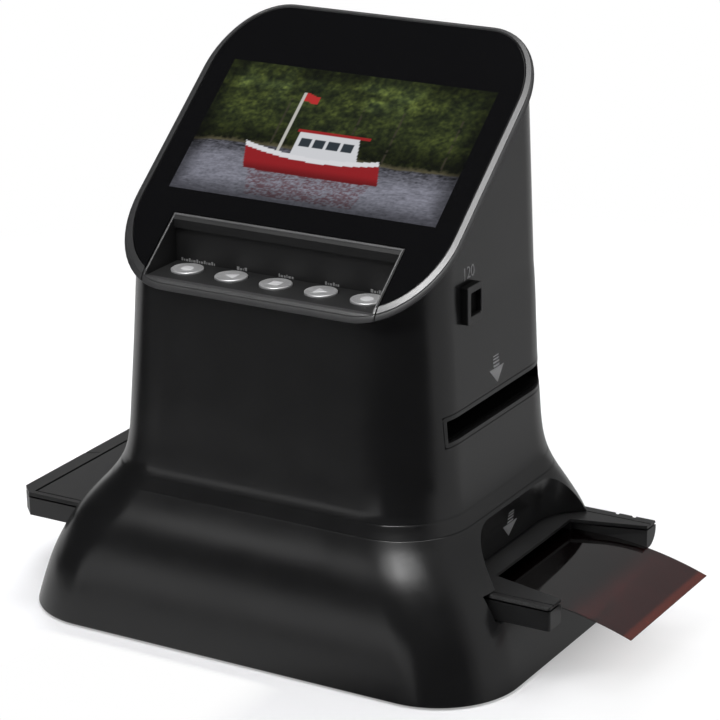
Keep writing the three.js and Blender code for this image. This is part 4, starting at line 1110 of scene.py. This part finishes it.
def pin_sockets():
    sockets = []
    for low, high in pin_boxes:
        _, y, z = (low + high) / 2
        outline = arc(y, z, pin_room, pin_room, 0, 1.9, 19)
        sockets.append(prism("tool", outline, 0, low[0] - gap, high[0] + gap))
    return sockets


tray_body_top = tray_top - lid_thickness - lid_groove
lid_shadow = 0.3
tray = tray_plate("tray_body_fine", tray_bottom, tray_body_top - lid_shadow)
combine(
    tray,
    block(channel_start, tray_right + 6, *around(tray_y, film_half), film_bottom - gap, tray_top),
    tray_gate(tray_bottom - 6, tray_top), *pin_sockets(),
)
soften(tray, 0.3, 2, 40)
fit(tray, tray_black, "tray", "tray_black", "tray_body")


# Tray lid: a flat cover with the same outline, hinged at the back on two steel pins, with a fine
# groove round its top, a tick that marks the middle, and two rails that hold the film flat.
border_left, border_side, border_width, border_depth = 6.2, 2.6, 1.1, 0.75
tick_length, rail_width = 5, 2.6
notch_middle, notch_apart, notch_half, notch_deep = 9, 3.35, 0.9, 2.3
lid_low = tray_top - lid_thickness
lid = tray_plate("tray_lid_fine", lid_low, tray_top)
rail_low = film_bottom + film_thickness + gap
for side in (-1, 1):
    low_y, high_y = sorted(tray_y + side * reach for reach in (film_half - rail_width, film_half - gap))
    rail = block(channel_start + gap, arm_root, low_y, high_y, rail_low, lid_low + gap)
    combine(lid, rail, how="UNION")
left, front = tray_left + border_left, tray_front + border_side
back = tray_back - back_round_over - border_side
groove = block(left, tray_right + 6, front, back, tray_top - border_depth, tray_top + 6)
combine(groove, block(
    left + border_width, tray_right + 12, front + border_width / 2, back - border_width / 2,
    tray_top - border_depth - 6, tray_top + 12,
))
combine(
    lid, groove,
    prism("tool", [
        (tray_left - 1, tray_y - 1.1), (tray_left - 1, tray_y - 1.8), (tray_left + tick_length, tray_y + 1.8),
        (tray_left + tick_length, tray_y + 2.5),
    ], 2, tray_top - border_depth, tray_top + 6),
    tray_gate(tray_bottom, tray_top + 6), *pin_sockets(),
)
combine(lid, prism("tool", [
    (tray_front - 1, tray_top - 0.95), (tray_front, tray_top - 0.95), (tray_front + 0.5, tray_top),
    (tray_front + 0.5, tray_top + 1), (tray_front - 1, tray_top + 1),
], 0, -far_out, far_out))
for side in (-1, 1):
    x = pin_boxes[0][0][0] + notch_middle + side * notch_apart
    combine(lid, block(
        *around(x, notch_half), tray_back - notch_deep, tray_back + 6, lid_low - gap, tray_top + 6,
    ))
soften(lid, 0.3, 3, 35)
fit(lid, tray_black, "tray", "tray_black", "tray_lid")


# Roll film: a strip of 61.5 mm colour negative that lies in the tray and sags past its end. The
# base is a clear red-brown, glossy on both faces.
film_right, droop_start, droop = 132, 90, 7.5
flat_levels, droop_levels, cross_levels = 30, 65, 9

# Where the film turns from its painted dark to a lighter red near its end, and where its last
# edge turns bright, as lengths before the right end
lit_end_span, bright_edge = (27, 14), (3.8, 2.0)
negative, tree, place = new_finish("film_brown")
stretched = node(tree, "ShaderNodeMapping", {"Vector": place, "Scale": (20, 400, 20)}).outputs[0]
streaks = noise(tree, stretched, 1, 3)
along = node(tree, "ShaderNodeSeparateXYZ", {0: place}).outputs["X"]
lit_end, edge = (
    ramp(tree, along, *((film_right + home[0] - before) / 1000 for before in span))
    for span in (lit_end_span, bright_edge)
)
# Painted shade and light: darker over most of its length, a clearer red near its end over the white table.
tint = tinted(tree, streaks, (0.03, 0.003, 0.003), (0.055, 0.006, 0.006))
tint = tinted(tree, lit_end, (0.008, 0.0022, 0.0024), tint)
surface(tree, {
    "Base Color": tinted(tree, edge, tint, (0.17, 0.024, 0.012)),
    "Roughness": glossed(tree, streaks, 0.04, 0.08),
    "Transmission Weight": 0.92,
    "IOR": 1.86,
})

lengthwise = [
    *np.linspace(film_left, droop_start, flat_levels)[:-1],
    *np.linspace(droop_start, film_right, droop_levels),
]
crosswise = np.linspace(-film_width / 2, film_width / 2, cross_levels)
points = []
for side in (film_thickness, 0):
    for x in lengthwise:
        share = max(0, x - droop_start) / (film_right - droop_start)
        for y in crosswise:
            points.append((x, tray_y + y, film_bottom + side - droop * share ** 2))
rows, count = len(lengthwise), len(crosswise)
lower = rows * count
faces = []
for r in range(rows - 1):
    for c in range(count - 1):
        a = r * count + c
        faces.append((a, a + count, a + count + 1, a + 1))
        faces.append((lower + a, lower + a + 1, lower + a + count + 1, lower + a + count))
rim_steps = [(r * count + c, count) for r in range(rows - 1) for c in (0, count - 1)]
rim_steps += [(r * count + c, 1) for c in range(count - 1) for r in (0, rows - 1)]
faces += [(a, a + step, lower + a + step, lower + a) for a, step in rim_steps]
strip = make("film_strip_fine", points, faces)
fit(strip, negative, "film", "film_brown", "film_strip", angle=40, weighted=False)


# Prints: two arrows, the number of the large film size by the selector and a mark behind each
# button, pad-printed in light grey.
print_grey = moulded("print_grey", (0.26, 0.26, 0.262), 0.55, grain=0.2, depth=0.004)
print_proud, print_weld, arrow_half = 0.06, 0.001, 5.2


def wall_x(z):
    """The right wall's outer face."""
    return body_at(z)[0]


def pocket_wall_x(z):
    return pocket_x + pocket_draft_share * (z - tunnel_high)


def wall_print(name, shapes, place):
    """Flat shapes in y and z, laid on a wall and a hair thick."""
    points, faces = [], []
    for shape in shapes:
        low, count = len(points), len(shape)
        high = low + count
        for lift in (0.0, print_proud):
            points += [(place(z) + lift, y, z) for y, z in shape]
        faces += [tuple(range(high, high + count)), tuple(reversed(range(low, high)))]
        faces += band(low, high, count)
    piece = make(name, points, faces, print_weld)
    fit(piece, print_grey, "housing", "button_silver", weighted=False)


def thicken(piece, depth):
    """Gives a flat print the given depth, into the wall."""
    thick = piece.modifiers.new("depth", "SOLIDIFY")
    thick.thickness, thick.offset = depth / 1000, -1
    settle(piece)


def arrow(tip_y, tip_z, head):
    """A small arrow that points down, with a tail of thinning stripes."""
    top = tip_z + head
    shapes = [[(tip_y, tip_z), (tip_y + arrow_half, top), (tip_y - arrow_half, top)]]
    for width, low, high in [(2.1, 0.35, 1.1), (2.1, 1.75, 2.4), (2.1, 3.0, 3.5), (2.0, 4.1, 4.5)]:
        left, right = around(tip_y, width)
        shapes.append([(left, top + low), (right, top + low), (right, top + high), (left, top + high)])
    return shapes


wall_print("upper_arrow", arrow(-0.65, 91.2, 5.35), wall_x)
wall_print("lower_arrow", arrow(-4.35, 35.8, 5.0), pocket_wall_x)

number_y, number_z, number_width, number_height = -20.4, 133.6, 7.1, 4.3
letters = bpy.data.curves.new("number", "FONT")
letters.body, letters.size, letters.resolution_u = "120", 1.0, 4
drawn = bpy.data.objects.new("number", letters)
scene.collection.objects.link(drawn)
flat = bpy.data.meshes.new_from_object(drawn.evaluated_get(bpy.context.evaluated_depsgraph_get()))
bpy.data.objects.remove(drawn)
spots = np.array([v.co[:2] for v in flat.vertices])
spots = (spots - spots.min(0)) / (spots.max(0) - spots.min(0))
spots = (number_y, number_z) + (number_width, number_height) * spots
number = make(
    "selector_number", [(wall_x(z) + print_proud, y, z) for y, z in spots],
    [tuple(face.vertices) for face in flat.polygons], print_weld,
)
thicken(number, 2 * print_proud)
fit(number, print_grey, "housing", "button_silver", weighted=False)

mark_lengths = [14.8, 4.7, 6.7, 5.6, 5.7]
mark_y, mark_low = well_back - 0.05, well_floor + 0.2
mark_narrow, mark_wider, mark_gap, mark_tall, mark_short = 0.4, 0.3, 0.35, 1.2, 0.8
for i, (x, length) in enumerate(zip(button_places, mark_lengths), 1):
    points, faces = [], []
    low_x, end = x - length / 2, x + length / 2
    while low_x < end - 0.5:
        wide = mark_narrow + mark_wider * ((i * 7 + len(faces) * 5) % 3)
        top = mark_low + (mark_tall if len(faces) % 3 == 0 else mark_short)
        high_x = min(low_x + wide, end)
        faces.append(tuple(range(len(points), len(points) + 4)))
        points += [(low_x, mark_y, mark_low), (high_x, mark_y, mark_low)]
        points += [(high_x, mark_y, top), (low_x, mark_y, top)]
        low_x += wide + mark_gap
    mark = make(f"button_{i}_mark", points, faces, 0)
    thicken(mark, 0.1)
    fit(mark, print_grey, "housing", "button_silver", weighted=False)


# Boards, sockets, camera and display parts inside the tower keep their solids. Circuit boards are
# green solder mask with tracks, the brackets and sockets are steel.
def simple(name, first, second, roughness, metallic, scale, tracks=False, stretch=(1, 1, 1)):
    """A finish between two colours, in tracks or in plain noise."""
    finish, tree, place = new_finish(name)
    place = node(tree, "ShaderNodeMapping", {"Vector": place, "Scale": stretch}).outputs[0]
    if tracks:
        pattern = node(tree, "ShaderNodeTexBrick", {
            "Vector": place, "Scale": scale, "Color1": (0, 0, 0, 1), "Color2": (0.2, 0.2, 0.2, 1),
            "Mortar": (1, 1, 1, 1), "Mortar Size": 0.05,
        }).outputs["Color"]
    else:
        pattern = noise(tree, place, scale, 4)
    surface(tree, {
        "Base Color": tinted(tree, pattern, first, second),
        "Roughness": glossed(tree, pattern, roughness - 0.06, roughness + 0.06, 0, 1),
        "Normal": grained(tree, pattern, 0.01, 0.6),
        "Metallic": metallic,
    })
    return finish


for names, finish in [
    (["sensor_board", "main_board", "button_board"],
     simple("circuit_green", (0.012, 0.09, 0.03), (0.03, 0.16, 0.06), 0.4, 0, 400, tracks=True)),
    (["camera_bracket", "lcd_bracket"],
     simple("sheet_steel", (0.42, 0.43, 0.44), (0.56, 0.57, 0.58), 0.34, 1, 700, stretch=(1, 0.05, 1))),
    ([f"bottom_screw_{i}" for i in range(1, 5)]
     + ["tray_hinge_pin_1", "tray_hinge_pin_2", "usb_socket", "card_socket"],
     simple("bright_steel", (0.52, 0.53, 0.54), (0.66, 0.67, 0.68), 0.26, 1, 900, stretch=(0.05, 1, 1))),
    (["diffuser", "backlight_panel"],
     simple("opal_white", (0.78, 0.78, 0.75), (0.86, 0.86, 0.83), 0.5, 0, 300)),
    (["front_lens"], simple("lens_glass", (0.32, 0.42, 0.5), (0.4, 0.5, 0.58), 0.08, 0, 60)),
    (["lcd_panel", "image_sensor"],
     simple("display_black", (0.006, 0.006, 0.007), (0.012, 0.012, 0.013), 0.2, 0, 300)),
    (["display_ribbon"],
     simple("ribbon_amber", (0.36, 0.17, 0.03), (0.5, 0.26, 0.05), 0.4, 0, 900, tracks=True)),
]:
    keep(names, finish)
